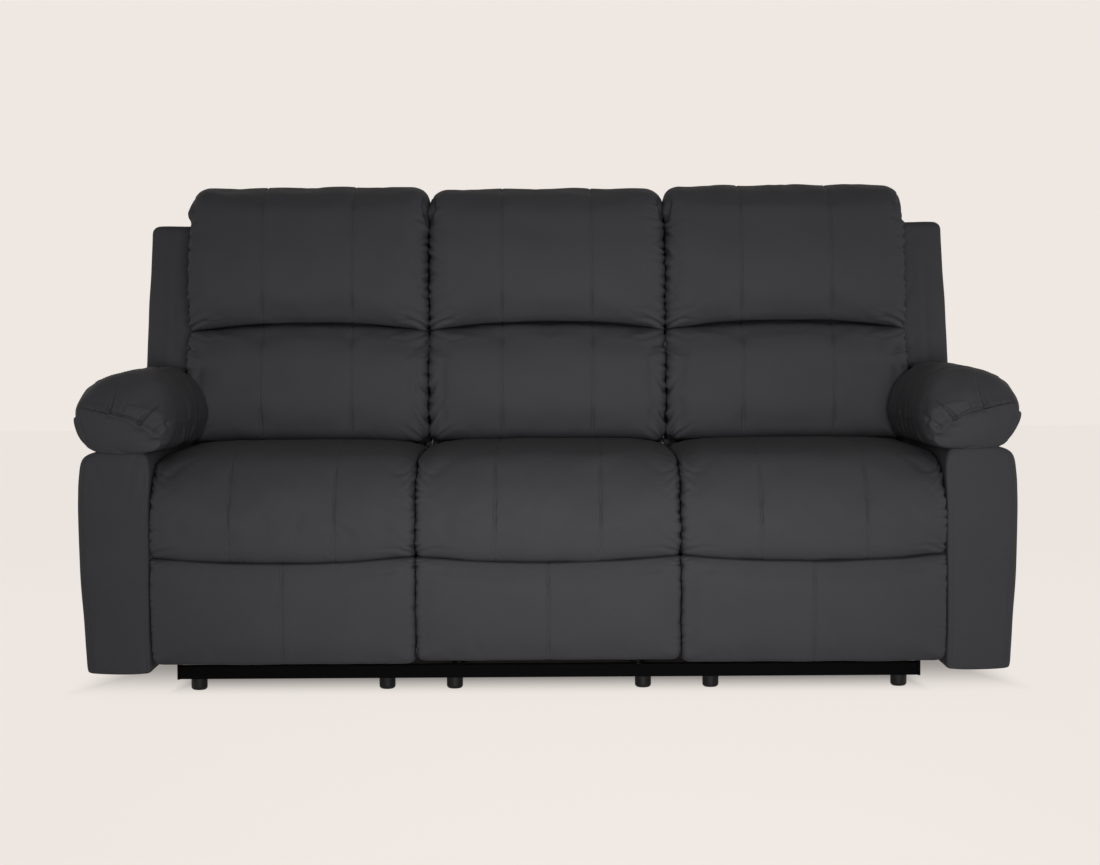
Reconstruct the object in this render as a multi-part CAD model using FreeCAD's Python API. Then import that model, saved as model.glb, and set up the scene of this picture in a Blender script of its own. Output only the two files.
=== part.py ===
"""A three-seat reclining sofa, life size, in millimetres.

+X is the sitter's left to right as seen from the front, -Y is the front, +Z is up.
The origin is on the floor, under the middle of the whole sofa.
Each seat has its own steel mechanism. The seat slides forward on two slotted plates as its back
leans, and a scissor of four links on each side throws the footrest out and turns it up.
"""

import FreeCAD
import Part
import math
import os

os.makedirs("parts", exist_ok=True)
Vector = FreeCAD.Vector

# Overall sizes and the places that everything else is measured from
seat_pitch = 538.0
seat_gap = 4.0
seat_half = (seat_pitch - seat_gap) / 2
arm_gap = 3.0
arm_inner_x = seat_pitch + seat_half + arm_gap
cushion_front = -452.0
cushion_rear = 130.0
cushion_base = 362.0
cushion_thickness = 138.0
cushion_top = cushion_base + cushion_thickness
cushion_crown = 7.0
cushion_peak_y = -110.0
cushion_crest_y = -335.0
lip_drop = 66.0
cushion_lip = cushion_base - lip_drop
lip_sag = 9.0
floor_gap = 62.0
fit_gap = 0.08
slot_gap = 0.3
touch_gap = 0.4
wing_gap = 14.0

# Feet and the base that stands on them
foot_radius = 17.0
foot_height = 24.0
foot_dome = 7.0
runner_inset = 69.0
runner_offset = seat_half - runner_inset
runner_width = 26.0
rail_height = 26.0
rail_depth = 30.0
rail_end_gap = 34.0
rail_half_length = arm_inner_x - rail_end_gap
front_rail_y = -255.0
rear_rail_y = 262.0
arm_bracket_thickness = 5.0
arm_bracket_depth = 44.0
arm_bracket_top = 124.0

# Sheet steel of the mechanism, counted outwards from the slotted plate
steel = 4.0
plate_step = 6.0
slide_plate_inset = 77.0
slide_plate_x = seat_half - slide_plate_inset
seat_plate_x = slide_plate_x + 2 * plate_step
control_x = seat_plate_x + plate_step
drive_x = control_x + plate_step
footrest_link_x = drive_x + plate_step
guide_x = footrest_link_x + plate_step
pin_radius = 3.5
pin_head = 1.5
bracket_flange = 24.0
hinge_pin_radius = 5.0
seat_plate_front = -264.0
seat_plate_top = cushion_base - 8.0
link_end_radius = 11.0
open_hole_radius = 9.0
open_end_radius = 13.5

# Slotted plate and the pins that ride in it
slide_travel = 40.0
slot_drop = 126.0
slot_z = cushion_base - slot_drop
slot_front_y = -96.0
slot_rear_y = 104.0
slide_pin_radius = 6.0
slide_plate_top = slot_z + 26.0
slide_plate_front = -168.0
slide_plate_rear = 138.0

# Scissor, folded: pivot places in the side view
drive_drop = 100.0
drive_pivot = (-215.0, cushion_base - drive_drop)
drive_length = 171.7
drive_folded_deg = -147.6
footrest_drop = 222.0
footrest_pivot = (-380.0, cushion_base - footrest_drop)
control_arm = 26.0
control_arm_deg = 12.0
control_on_bracket = (-20.0, -40.0)
guide_on_plate = (32.0, 17.0)
guide_on_link = (40.0, 17.0)
drive_tube_radius = 9.0
drive_tube_wall = 2.0

# Seat frame, webbing and footrest board
frame_board = 25.0
frame_rail_depth = 30.0
frame_front_y = -352.0
frame_rear_y = 128.0
side_rail_width = 20.0
webbing_width = 60.0
webbing_thickness = 2.5
webbing_count = 4
board_thickness = 12.0
board_front_y = -405.0
board_inset = 27.0
board_width = 2 * (seat_half - board_inset)
board_bottom = 92.0
board_top = cushion_lip - 28.0
rest_bottom = 75.0
rest_front_y = -449.0
rest_lip_gap = 9.0

# Back: hinge, frame plane, outer shell
hinge_rise = 33.0
hinge_ear_drop = 95.0
hinge = (175.0, cushion_base + hinge_rise)
frame_plane_y = 250.0
frame_plane_z = 400.0
frame_slope = 0.18
back_tube = 25.0
back_tube_depth = 30.0
back_frame_bottom = cushion_base + 10.0
back_top = 1085.0
lumbar_bottom = cushion_top + 9.0
tail_bottom = cushion_base + 68.0
bracket_top = lumbar_bottom - 7.0
shell_rear_low = (345.0, cushion_base - 50.0)
shell_rear_high = (457.0, 978.0)
shell_thickness = 12.0
flank_bottom = cushion_base - 20.0
shell_top = 1018.0
back_frame_top = shell_top - shell_thickness
back_rail_heights = (tail_bottom, 720.0, back_frame_top - back_tube)
outer_cushion_extra = 10.0
valley_z = 768.0
head_foot_y = 176.0
head_belly = (141.0, 862.0)
head_chest = (172.0, 985.0)
head_brow = (202.0, 1060.0)
head_peak_y = 272.0
head_rear_y = 402.0
lumbar_foot_y = 150.0
lumbar_belly = (100.0, lumbar_bottom + 103.0)
lumbar_chest = (140.0, 726.0)
lumbar_brow = (154.0, 752.0)
lumbar_top_y = 182.0

# Arms, pads and wings
arm_belly = 141.0
arm_belly_z = cushion_base + 38.0
arm_flank_z = 235.0
arm_taper = 20.0
arm_widest_x = arm_inner_x + arm_belly
arm_foot_x = arm_widest_x - arm_taper
arm_top = cushion_top + 13.0
arm_top_roll = 31.0
arm_front_y = -430.0
arm_rear_y = 335.0
arm_shoulder = cushion_base - 86.0
arm_notch = (110.0, cushion_base - 20.0)
arm_cover_thickness = 11.0
arm_edge_roll = 10.0
arm_window_margin = 90.0
pad_front_y = -450.0
pad_overhang = 44.0
pad_outer_gap = 1.0
pad_inner_x = arm_inner_x - pad_overhang
pad_outer_x = arm_widest_x + pad_outer_gap
pad_height = 158.0
pad_top = arm_top + pad_height
pad_step_y = 86.0
wing_inset = 19.0
wing_taper = 14.0
wing_outer_x = arm_widest_x - wing_inset
wing_top_x = wing_outer_x - wing_taper
wing_lean = 0.19
wing_front_y = 236.0
wing_front_z = 620.0
wing_top = 1002.0
wing_bottom = cushion_base + 24.0
rear_panel_thickness = 12.0
rear_panel_top = arm_shoulder - 4.0

# Release handles
cup_y = -120.0
cup_z = cushion_base - 12.0
cup_length = 116.0
cup_height = 66.0
cup_depth = 24.0
cup_wall = 3.0
cup_flange = 9.0
cup_face_x = arm_widest_x + 2.2
paddle_pin_radius = 2.5
paddle_pin_x = cup_face_x - cup_depth + 12.0
paddle_pin_y = cup_y + cup_length / 2 - 14.0
paddle_reach = 22.0
tab_thickness = 2.4
tab_travel = 15.0
tab_bolt_radius = 3.0
tab_bolt_z = cushion_base - 12.0
tab_y = 62.0
tab_top = cushion_top - 2.0

sides = (-1, 1)
seats = {"left": -seat_pitch, "centre": 0.0, "right": seat_pitch}
beyond = 4 * seat_pitch
shell_extra = outer_cushion_extra + 2.0
wing_inner_x = seat_pitch + seat_half + shell_extra


def save(name, *solids):
    """Write one named sub-part, which may be a group of like solids."""
    shape = solids[0] if len(solids) == 1 else Part.makeCompound(list(solids))
    shape.exportStep("parts/%s.step" % name)


def point(plane, at, a, b):
    """A point given in a section plane: yz at an x, xz at a y, or xy at a z."""
    if plane == "yz":
        return Vector(at, a, b)
    if plane == "xz":
        return Vector(a, at, b)
    return Vector(a, b, at)


def outline(plane, at, steps):
    """A closed wire through steps: (a, b) ends a straight edge, ((a, b), (c, d)) an arc through its first."""
    first = steps[0]
    start = point(plane, at, *first)
    here = start
    edges = []
    for step in steps[1:]:
        if isinstance(step[0], tuple):
            middle = point(plane, at, *step[0])
            end = point(plane, at, *step[1])
            edges.append(Part.Arc(here, middle, end).toShape())
        else:
            end = point(plane, at, *step)
            edges.append(Part.LineSegment(here, end).toShape())
        here = end
    if here.distanceToPoint(start) > 1e-6:
        edges.append(Part.LineSegment(here, start).toShape())
    return Part.Wire(edges)


def rounded(plane, at, corners):
    """A closed wire through corners (a, b, radius), each rounded by an arc that meets both sides."""
    steps = []
    count = len(corners)
    for i in range(count):
        a, b, radius = corners[i]
        before = Vector(corners[i - 1][0] - a, corners[i - 1][1] - b, 0)
        after = Vector(corners[(i + 1) % count][0] - a, corners[(i + 1) % count][1] - b, 0)
        before.normalize()
        after.normalize()
        if radius <= 0:
            steps.append((a, b))
            continue
        half = before.getAngle(after) / 2
        reach = radius / math.tan(half)
        entry = (a + before.x * reach, b + before.y * reach)
        leave = (a + after.x * reach, b + after.y * reach)
        bisector = before + after
        bisector.normalize()
        depth = radius / math.sin(half) - radius
        middle = (a + bisector.x * depth, b + bisector.y * depth)
        steps.append(entry)
        steps.append((middle, leave))
    return outline(plane, at, steps)


def prism(wire, length):
    """Extrude a closed wire along the axis that its plane faces."""
    face = Part.Face(wire)
    box = wire.BoundBox
    if box.XLength < 1e-6:
        way = Vector(length, 0, 0)
    elif box.YLength < 1e-6:
        way = Vector(0, length, 0)
    else:
        way = Vector(0, 0, length)
    return face.extrude(way)


def block(x0, x1, y0, y1, z0, z1):
    """A box between two corners."""
    return Part.makeBox(x1 - x0, y1 - y0, z1 - z0, Vector(x0, y0, z0))


def rod(x0, x1, y, z, radius):
    """A round bar along X."""
    return Part.makeCylinder(radius, x1 - x0, Vector(x0, y, z), Vector(1, 0, 0))


def mirrored(solid):
    """The same solid on the other side of the sofa's middle."""
    return solid.mirror(Vector(0, 0, 0), Vector(1, 0, 0))


def both_sides(make, centre):
    """A piece made for the right of a seat, and its mirror image on the left, at that seat's place."""
    right = make()
    left = mirrored(right)
    right.translate(Vector(centre, 0, 0))
    left.translate(Vector(centre, 0, 0))
    return [right, left]


def polar(origin, length, degrees):
    """A place in the side view, where angles turn from straight ahead (-Y) towards up."""
    angle = math.radians(degrees)
    return (origin[0] - length * math.cos(angle), origin[1] + length * math.sin(angle))


def offset(origin, step, degrees):
    """A place that lies step = (ahead, up) from the origin on a piece turned by the angle."""
    angle = math.radians(degrees)
    ahead = step[0] * math.cos(angle) - step[1] * math.sin(angle)
    up = step[0] * math.sin(angle) + step[1] * math.cos(angle)
    return (origin[0] - ahead, origin[1] + up)


def link(points, radii, x):
    """A flat bar that runs through the points, with a round end or eye at each."""
    bar = None
    for (y, z), radius in zip(points, radii):
        eye = rod(x, x + steel, y, z, radius)
        bar = eye if bar is None else bar.fuse(eye)
    for (y0, z0), (y1, z1) in zip(points, points[1:]):
        run = Vector(0, y1 - y0, z1 - z0)
        side = Vector(0, -run.z, run.y)
        side.normalize()
        side = side * (link_end_radius - 1.0)
        corners = [
            Vector(x, y0, z0) + side,
            Vector(x, y1, z1) + side,
            Vector(x, y1, z1) - side,
            Vector(x, y0, z0) - side,
        ]
        wire = Part.makePolygon(corners + corners[:1])
        bar = bar.fuse(Part.Face(wire).extrude(Vector(steel, 0, 0)))
    return bar.removeSplitter()


def frame_y(z):
    """Where the front of the back frame stands at a height."""
    return frame_plane_y + frame_slope * (z - frame_plane_z)


def shell_y(z):
    """Where the outside of the rear shell stands at a height."""
    (y0, z0), (y1, z1) = shell_rear_low, shell_rear_high
    return y0 + (y1 - y0) * (z - z0) / (z1 - z0)


def wing_front(z):
    """Where the front of a wing stands at a height."""
    return wing_front_y + wing_lean * (z - wing_front_z)


# Pivots of the scissor, folded
elbow = polar(drive_pivot, drive_length, drive_folded_deg)
control_low = polar(elbow, control_arm, drive_folded_deg + control_arm_deg)
control_high = offset(footrest_pivot, control_on_bracket, 0)
guide_high = offset(drive_pivot, guide_on_plate, 0)
guide_low = offset(elbow, guide_on_link, 0)


def make_feet():
    """A domed plastic glide under each crossing of rail and runner."""
    solids = []
    for centre in seats.values():
        for side in sides:
            for y in (front_rail_y, rear_rail_y):
                x = centre + side * runner_offset
                foot = Part.makeCylinder(foot_radius, foot_height, Vector(x, y, 0))
                low = [e for e in foot.Edges if abs(e.BoundBox.ZMax) < 1e-6]
                solids.append(foot.makeFillet(foot_dome, low))
    return solids


def make_base_rails():
    """The long rails that the feet are screwed to."""
    solids = []
    for y in (front_rail_y, rear_rail_y):
        solids.append(
            block(
                -rail_half_length,
                rail_half_length,
                y - rail_depth / 2,
                y + rail_depth / 2,
                foot_height,
                foot_height + rail_height,
            )
        )
    return solids


def make_runners():
    """Short rails from front to back that carry each slotted plate."""
    solids = []
    for centre in seats.values():
        for side in sides:
            x = centre + side * (slide_plate_x + steel / 2)
            solids.append(
                block(
                    x - runner_width / 2,
                    x + runner_width / 2,
                    front_rail_y + rail_depth / 2,
                    rear_rail_y - rail_depth / 2,
                    foot_height + 4.0,
                    foot_height + rail_height - 4.0,
                )
            )
    return solids


def make_slide_plate():
    """The plate with two slots that the seat's pins run in, and the foot flange that bolts it down."""
    low = foot_height + rail_height - 4.0
    wire = rounded(
        "yz",
        slide_plate_x,
        [
            (slide_plate_front, low, 0),
            (slide_plate_rear, low, 0),
            (slide_plate_rear, slide_plate_top, 18),
            (slide_plate_front, slide_plate_top, 18),
        ],
    )
    plate = prism(wire, steel)
    slot_radius = slide_pin_radius + slot_gap
    for y in (slot_front_y, slot_rear_y):
        slot = rod(slide_plate_x, slide_plate_x + steel, y, slot_z, slot_radius)
        end = rod(slide_plate_x, slide_plate_x + steel, y - slide_travel, slot_z, slot_radius)
        web = block(
            slide_plate_x,
            slide_plate_x + steel,
            y - slide_travel,
            y,
            slot_z - slot_radius,
            slot_z + slot_radius,
        )
        plate = plate.cut(slot.fuse([end, web]))
    window = prism(
        rounded(
            "yz",
            slide_plate_x,
            [
                (slide_plate_front + 45, low + 45, 14),
                (slide_plate_rear - 45, low + 45, 14),
                (slide_plate_rear - 60, slot_z - 50, 14),
                (slide_plate_front + 60, slot_z - 50, 14),
            ],
        ),
        steel,
    )
    flange = block(
        slide_plate_x - 16, slide_plate_x, slide_plate_front + 10, slide_plate_rear - 10, low, low + steel
    )
    return plate.cut(window).fuse(flange)


def make_bolts(centre):
    """Hexagon bolts that hold the slotted plates to the runners."""
    low = foot_height + rail_height
    solids = []
    for side in sides:
        for y in (slide_plate_front + 35, slide_plate_rear - 35):
            x = centre + side * (slide_plate_x - 8)
            corners = []
            for turn in range(7):
                angle = math.radians(60 * turn)
                corners.append(Vector(x + 6 * math.cos(angle), y + 6 * math.sin(angle), low))
            solids.append(Part.Face(Part.makePolygon(corners)).extrude(Vector(0, 0, 5)))
    return solids


def make_arm_brackets():
    """Angle plates that hang each arm from the ends of the base rails."""
    solids = []
    for side in sides:
        for y in (front_rail_y, rear_rail_y):
            low = foot_height
            high = arm_bracket_top
            upright = prism(
                rounded(
                    "yz",
                    rail_half_length,
                    [
                        (y - arm_bracket_depth / 2, low, 0),
                        (y + arm_bracket_depth / 2, low, 0),
                        (y + arm_bracket_depth / 2, high, 0),
                        (y - arm_bracket_depth / 2, high, 0),
                    ],
                ),
                arm_bracket_thickness,
            )
            shelf = block(
                rail_half_length + arm_bracket_thickness,
                arm_inner_x,
                y - arm_bracket_depth / 2,
                y + arm_bracket_depth / 2,
                high - arm_bracket_thickness,
                high,
            )
            tongue = block(
                arm_inner_x - arm_bracket_thickness,
                arm_inner_x,
                y - arm_bracket_depth / 2,
                y + arm_bracket_depth / 2,
                floor_gap + 8,
                high - arm_bracket_thickness,
            )
            bracket = upright.fuse([shelf, tongue])
            solids.append(bracket if side > 0 else mirrored(bracket))
    return solids


def arm_front_outline(y, inset):
    """The arm's outline seen from the front: upright inside, bellied outside."""
    return outline(
        "xz",
        y,
        [
            (arm_inner_x + inset, floor_gap),
            (arm_foot_x - inset, floor_gap),
            ((arm_widest_x - 4 - inset, arm_flank_z), (arm_widest_x - inset, arm_belly_z)),
            (
                (arm_widest_x - 5 - inset, arm_top - 43 - inset * 0.6),
                (arm_widest_x - arm_top_roll - inset, arm_top - inset),
            ),
            (arm_inner_x + inset, arm_top - 4 - inset),
        ],
    )


def arm_side_outline(x, inset):
    """The arm's outline seen from the side, with the low shoulder that the back swings over."""
    return rounded(
        "yz",
        x,
        [
            (arm_front_y + inset, floor_gap, 0),
            (arm_rear_y - inset, floor_gap, 0),
            (arm_rear_y - inset, arm_shoulder - inset, 12),
            (arm_notch[0] - inset, arm_notch[1] - inset, 25),
            (wing_front(arm_top + 30) - wing_gap - inset, arm_top + 30 - inset, 0),
            (arm_front_y + inset, arm_top + 30 - inset, 0),
        ],
    )


def arm_body(inset, edge):
    """The arm as a solid, drawn in by an inset all round but below, with its front edges rolled."""
    front = arm_front_y + inset
    sections = [
        arm_front_outline(front, inset + edge),
        arm_front_outline(front + edge * 0.3, inset + edge * 0.35),
        arm_front_outline(front + edge, inset),
        arm_front_outline(arm_rear_y + 10, inset),
    ]
    side_form = prism(arm_side_outline(arm_inner_x - arm_gap, inset), arm_belly + 2 * arm_gap)
    return Part.makeLoft(sections, True, True).common(side_form)


def make_arm_cover():
    """The padded leather cover of the right arm, open below, with a window for the handle cup."""
    cover = arm_body(0, arm_edge_roll).cut(arm_body(arm_cover_thickness, 2.0))
    window = block(
        cup_face_x - cup_depth - 2 * arm_cover_thickness,
        cup_face_x + cup_depth,
        cup_y - cup_length / 2,
        cup_y + cup_length / 2,
        cup_z - cup_height / 2,
        cup_z + cup_height / 2,
    )
    return cover.cut(window)


def make_arm_frame():
    """Plywood inside the right arm: a side panel, a front board, and rails."""
    inset = arm_cover_thickness
    body = arm_body(inset, 2.0)
    ply = 15.0
    low = floor_gap
    x0 = arm_inner_x
    x1 = arm_widest_x
    y0 = arm_front_y
    y1 = arm_rear_y
    panel = body.common(block(x0, x0 + inset + ply, y0, y1, low, arm_top))
    low_z = floor_gap + arm_window_margin
    high_z = arm_notch[1] + arm_window_margin / 2
    front_y = y0 + arm_window_margin * 1.5
    window = [
        (front_y, low_z, 40),
        (arm_notch[0] - arm_window_margin, low_z, 40),
        (arm_notch[0] - arm_window_margin * 0.8, high_z, 40),
        (front_y, high_z, 40),
    ]
    panel = panel.cut(prism(rounded("yz", x0, window), arm_belly))
    front = body.common(block(x0, x1, y0, y0 + inset + ply, low, arm_top))
    top = body.common(block(x0, x1, y0, arm_notch[0] - 12, arm_top - inset - ply, arm_top))
    foot = body.common(block(x0, x1, y0, y1, low, low + 30))
    return panel.fuse([front, top, foot]).removeSplitter()


def pad_section(y, share, lean):
    """A section of the pillow on the arm, flat below, bellied over the arm on both sides."""
    middle_x = (pad_inner_x + pad_outer_x) / 2
    low = arm_top + touch_gap

    def place(x, z):
        x = middle_x + (x - middle_x) * (0.35 + 0.65 * share)
        z = low + (z - low) * share
        return Vector(x, y + lean * (z - low), z)

    corners = [
        place(pad_outer_x - 24, low),
        place(pad_outer_x, low + 48),
        place(pad_outer_x - 13, low + 98),
        place(middle_x + 8, pad_top),
        place(pad_inner_x + 32, low + 127),
        place(pad_inner_x, low + 70),
        place(pad_inner_x + 16, low),
    ]
    edges = [
        Part.Arc(*corners[0:3]).toShape(),
        Part.Arc(*corners[2:5]).toShape(),
        Part.Arc(*corners[4:7]).toShape(),
        Part.LineSegment(corners[6], corners[0]).toShape(),
    ]
    return Part.Wire(edges)


def make_pad():
    """The pillow on the right arm, with a step that clears the back cushion."""
    rear = wing_front(arm_top) - wing_gap
    sections = [
        pad_section(pad_front_y - 9, 0.50, 0),
        pad_section(pad_front_y + 2, 0.76, 0),
        pad_section(pad_front_y + 25, 0.93, 0),
        pad_section(pad_front_y + 65, 1.0, 0),
        pad_section(rear - pad_height, 1.0, 0),
        pad_section(rear - 24, 0.97, wing_lean),
        pad_section(rear, 0.86, wing_lean),
    ]
    pad = Part.makeLoft(sections, True, True)
    notch = block(0, wing_inner_x + 4, pad_step_y, beyond, 0, beyond)
    return pad.cut(notch)


def make_cup():
    """The moulded cup that the release paddle sits in, let into the outside of the right arm."""
    half_l = cup_length / 2
    half_h = cup_height / 2
    rim = 4.0

    def ring(x, grow, radius):
        return rounded(
            "yz",
            x,
            [
                (cup_y - half_l - grow, cup_z - half_h - grow, radius),
                (cup_y + half_l + grow, cup_z - half_h - grow, radius),
                (cup_y + half_l + grow, cup_z + half_h + grow, radius),
                (cup_y - half_l - grow, cup_z + half_h + grow, radius),
            ],
        )

    outer = prism(ring(cup_face_x - cup_depth - cup_wall, -touch_gap, 5), cup_depth + cup_wall - rim / 2)
    flange = prism(ring(cup_face_x - rim / 2, cup_flange, 12), rim)
    inner = prism(ring(cup_face_x - cup_depth, -touch_gap - cup_wall, 6), cup_depth + rim)
    bores = Part.makeCylinder(
        paddle_pin_radius + fit_gap,
        cup_height + 2 * rim,
        Vector(paddle_pin_x, paddle_pin_y, cup_z - half_h - rim),
    )
    return outer.fuse(flange).removeSplitter().cut(inner).cut(bores)


def make_paddle():
    """The bent paddle that is pulled outwards, with the pin at its rear that hangs it in the cup."""
    reach = cup_height / 2 - cup_wall - touch_gap - 1.0
    low = cup_z - reach
    front = cup_y - paddle_reach
    x = paddle_pin_x
    y = paddle_pin_y
    grip = prism(
        outline(
            "xy",
            low,
            [
                (x + 6, y),
                ((x + 10, y - 22), (x + 9, front + 12)),
                ((x + 7, front + 4), (x + 1, front)),
                (x - 1, front + 4),
                ((x + 3, front + 8), (x + 4, front + 16)),
                ((x + 5, y - 22), (x, y - 5)),
                ((x - 5, y + 1), (x + 2, y + 5.5)),
            ],
        ),
        2 * reach,
    )
    pin_reach = cup_height / 2 - touch_gap - 0.5
    pin = Part.makeCylinder(paddle_pin_radius, 2 * pin_reach, Vector(x, y, cup_z - pin_reach))
    return grip.fuse(pin).removeSplitter()


def make_rear_panel():
    """The covered panel between the arms, behind the mechanisms."""
    y1 = arm_rear_y
    y0 = y1 - rear_panel_thickness
    return prism(
        rounded(
            "yz",
            -arm_inner_x,
            [
                (y0, floor_gap, 0),
                (y1, floor_gap, 0),
                (y1, rear_panel_top, 4),
                (y0, rear_panel_top, 4),
            ],
        ),
        2 * arm_inner_x,
    )


def make_seat_plates(centre):
    """The steel side plates of one seat, with the slide pins and the ears of the back hinge."""
    hinge_y, hinge_z = hinge
    ear = 22.0

    def one():
        wire = rounded(
            "yz",
            seat_plate_x,
            [
                (seat_plate_front, seat_plate_top, 6),
                (seat_plate_front, drive_pivot[1] - 4, 16),
                (seat_plate_front + 24, drive_pivot[1] - 26, 16),
                (slot_front_y - 44, slot_z - ear, 20),
                (slot_rear_y + 26, slot_z - ear, 20),
                (hinge_y + ear, hinge_z - hinge_ear_drop, 20),
                (hinge_y + ear, hinge_z + ear, 18),
                (hinge_y - ear, hinge_z + ear, 18),
                (hinge_y - ear - 8, seat_plate_top, 10),
            ],
        )
        plate = prism(wire, steel)
        bores = [drive_pivot + (drive_tube_radius + fit_gap,), (hinge_y, hinge_z, hinge_pin_radius + fit_gap)]
        for y, z, radius in bores:
            plate = plate.cut(rod(seat_plate_x - 1, seat_plate_x + steel + 1, y, z, radius))
        window_low = slot_z + 32
        window_high = cushion_base - frame_board - 20
        for start, end in ((slot_front_y - 62, slot_front_y + 14), (slot_front_y + 44, slot_rear_y)):
            window = rounded(
                "yz",
                seat_plate_x,
                [
                    (start, window_low, 12),
                    (end, window_low, 12),
                    (end, window_high, 12),
                    (start, window_high, 12),
                ],
            )
            plate = plate.cut(prism(window, steel))
        pins = []
        for y in (slot_front_y, slot_rear_y):
            pins.append(rod(slide_plate_x - slot_gap, seat_plate_x, y, slot_z, slide_pin_radius))
            pins.append(
                rod(
                    slide_plate_x - slot_gap - steel,
                    slide_plate_x - slot_gap,
                    y,
                    slot_z,
                    slide_pin_radius + steel,
                )
            )
        y, z = guide_high
        pins.append(rod(seat_plate_x + steel, guide_x + steel + pin_head, y, z, pin_radius))
        return plate.fuse(pins).removeSplitter()

    return both_sides(one, centre)


def make_seat_frame(centre):
    """The hardwood frame that the seat plates are screwed to, with the plates between its boards."""
    half = seat_half - 4
    top = cushion_base - webbing_thickness * 2 - touch_gap
    low = top - frame_board
    rail = frame_rail_depth
    front_y = frame_front_y + rail
    rear_y = frame_rear_y - rail
    front = block(-half, half, frame_front_y, front_y, low, top)
    rear = block(-seat_plate_x, seat_plate_x, rear_y, frame_rear_y, low, top)
    solids = [front, rear]
    for solid in solids:
        solid.translate(Vector(centre, 0, 0))
    side_low = low - 12
    outside = seat_plate_x + steel

    def beside():
        return block(seat_plate_x - side_rail_width, seat_plate_x, front_y, rear_y, side_low, top)

    def edge():
        return block(half - side_rail_width, half, front_y, rear_y, low, top)

    def stub():
        return block(outside, half, rear_y, frame_rear_y, low, top)

    for make in (beside, edge, stub):
        solids += both_sides(make, centre)
    return solids


def make_webbing(centre):
    """Elastic straps stretched over the seat frame, one set each way."""
    top = cushion_base - touch_gap
    solids = []
    span = 2 * (seat_half - 14)
    pitch = span / webbing_count
    upper = top - webbing_thickness
    for n in range(webbing_count):
        x = centre - span / 2 + pitch * (n + 0.5)
        solids.append(
            block(
                x - webbing_width / 2,
                x + webbing_width / 2,
                frame_front_y + 4,
                frame_rear_y - 4,
                upper - webbing_thickness,
                upper,
            )
        )
    depth = frame_rear_y - frame_front_y - 2 * frame_rail_depth
    rows = webbing_count - 1
    for n in range(rows):
        y = frame_front_y + frame_rail_depth + depth / rows * (n + 0.5)
        solids.append(
            block(
                centre - span / 2,
                centre + span / 2,
                y - webbing_width / 2,
                y + webbing_width / 2,
                upper,
                top,
            )
        )
    return solids


def cushion_section(x, draw, sag):
    """A side-view section of the seat cushion: crowned top, rolled front, and the lip over the footrest."""
    top = cushion_top - draw
    front = cushion_front + draw
    lip = cushion_lip - sag
    return outline(
        "yz",
        x,
        [
            (cushion_rear, cushion_base),
            (cushion_rear, top - 22),
            ((cushion_rear - 7, top - 7), (cushion_rear - 22, top)),
            ((cushion_peak_y, top + cushion_crown), (cushion_crest_y, top - 2)),
            ((front + 33, top - 36), (front + 2, top - 100)),
            ((front - 3, cushion_lip + 56), (front + 7, lip + 12)),
            ((front + 20, lip), (front + 46, lip + 6)),
            (front + 66, cushion_base),
        ],
    )


def spread(half, insets):
    """Section places across a cushion of this half width, from one side to the other."""
    right = [(half - inset, draw) for inset, draw in insets]
    return [(-x, draw) for x, draw in right] + [(0.0, 0.0)] + [(x, draw) for x, draw in reversed(right)]


def make_seat_cushion(centre):
    """One seat cushion: its sides are drawn in and its middle is crowned."""
    places = spread(seat_half, [(0, 20.0), (8, 9.0), (34, 1.5)])
    sections = []
    for x, draw in places:
        share = 1 - (x / seat_half) ** 2
        sections.append(cushion_section(centre + x, draw, lip_sag * share))
    return Part.makeLoft(sections, True, True)


def make_footrest_pad(centre):
    """The padded front of the footrest, with a top edge that dips under the seat's lip."""
    sections = []
    for x, draw in spread(seat_half - 1.5, [(0, 13.0), (9, 4.0), (60, 1.0)]):
        share = 1 - (x / seat_half) ** 2
        top = cushion_lip - rest_lip_gap - lip_sag * share - draw * 0.35
        front = rest_front_y + draw
        low = rest_bottom + draw * 0.3
        sections.append(
            outline(
                "yz",
                centre + x,
                [
                    (board_front_y, low + 4),
                    ((front + 22, low), (front + 5, low + 14)),
                    ((front - 1, 180), (front + 5, top - 16)),
                    ((front + 14, top - 3), (board_front_y, top - 5)),
                ],
            )
        )
    return Part.makeLoft(sections, True, True)


def make_footrest_board(centre):
    """The plywood board behind the footrest's padding."""
    wire = rounded(
        "xz",
        board_front_y,
        [
            (centre - board_width / 2, board_bottom, 10),
            (centre + board_width / 2, board_bottom, 10),
            (centre + board_width / 2, board_top, 10),
            (centre - board_width / 2, board_top, 10),
        ],
    )
    return prism(wire, board_thickness)


def make_footrest_brackets(centre):
    """Steel angles on the back of the board, with the pivots of the two links."""
    board_rear = board_front_y + board_thickness
    high_y, high_z = footrest_pivot
    low_y, low_z = control_high

    def one():
        ear = rounded(
            "yz",
            drive_x,
            [
                (board_rear, board_bottom + 1, 0),
                (low_y - 9, low_z - 10, 6),
                (low_y + 13, low_z - 9, 9),
                (high_y + 18, high_z + 14, 10),
                (board_rear, high_z + 36, 0),
            ],
        )
        plate = prism(ear, steel)
        flange = block(
            drive_x - bracket_flange,
            drive_x,
            board_rear,
            board_rear + steel,
            board_bottom + 4,
            high_z + 34,
        )
        low_pin = rod(control_x - 1.0, drive_x, low_y, low_z, pin_radius)
        pin = rod(drive_x + steel, footrest_link_x + steel + pin_head, high_y, high_z, pin_radius)
        return plate.fuse([flange, low_pin, pin]).removeSplitter()

    return both_sides(one, centre)


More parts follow.
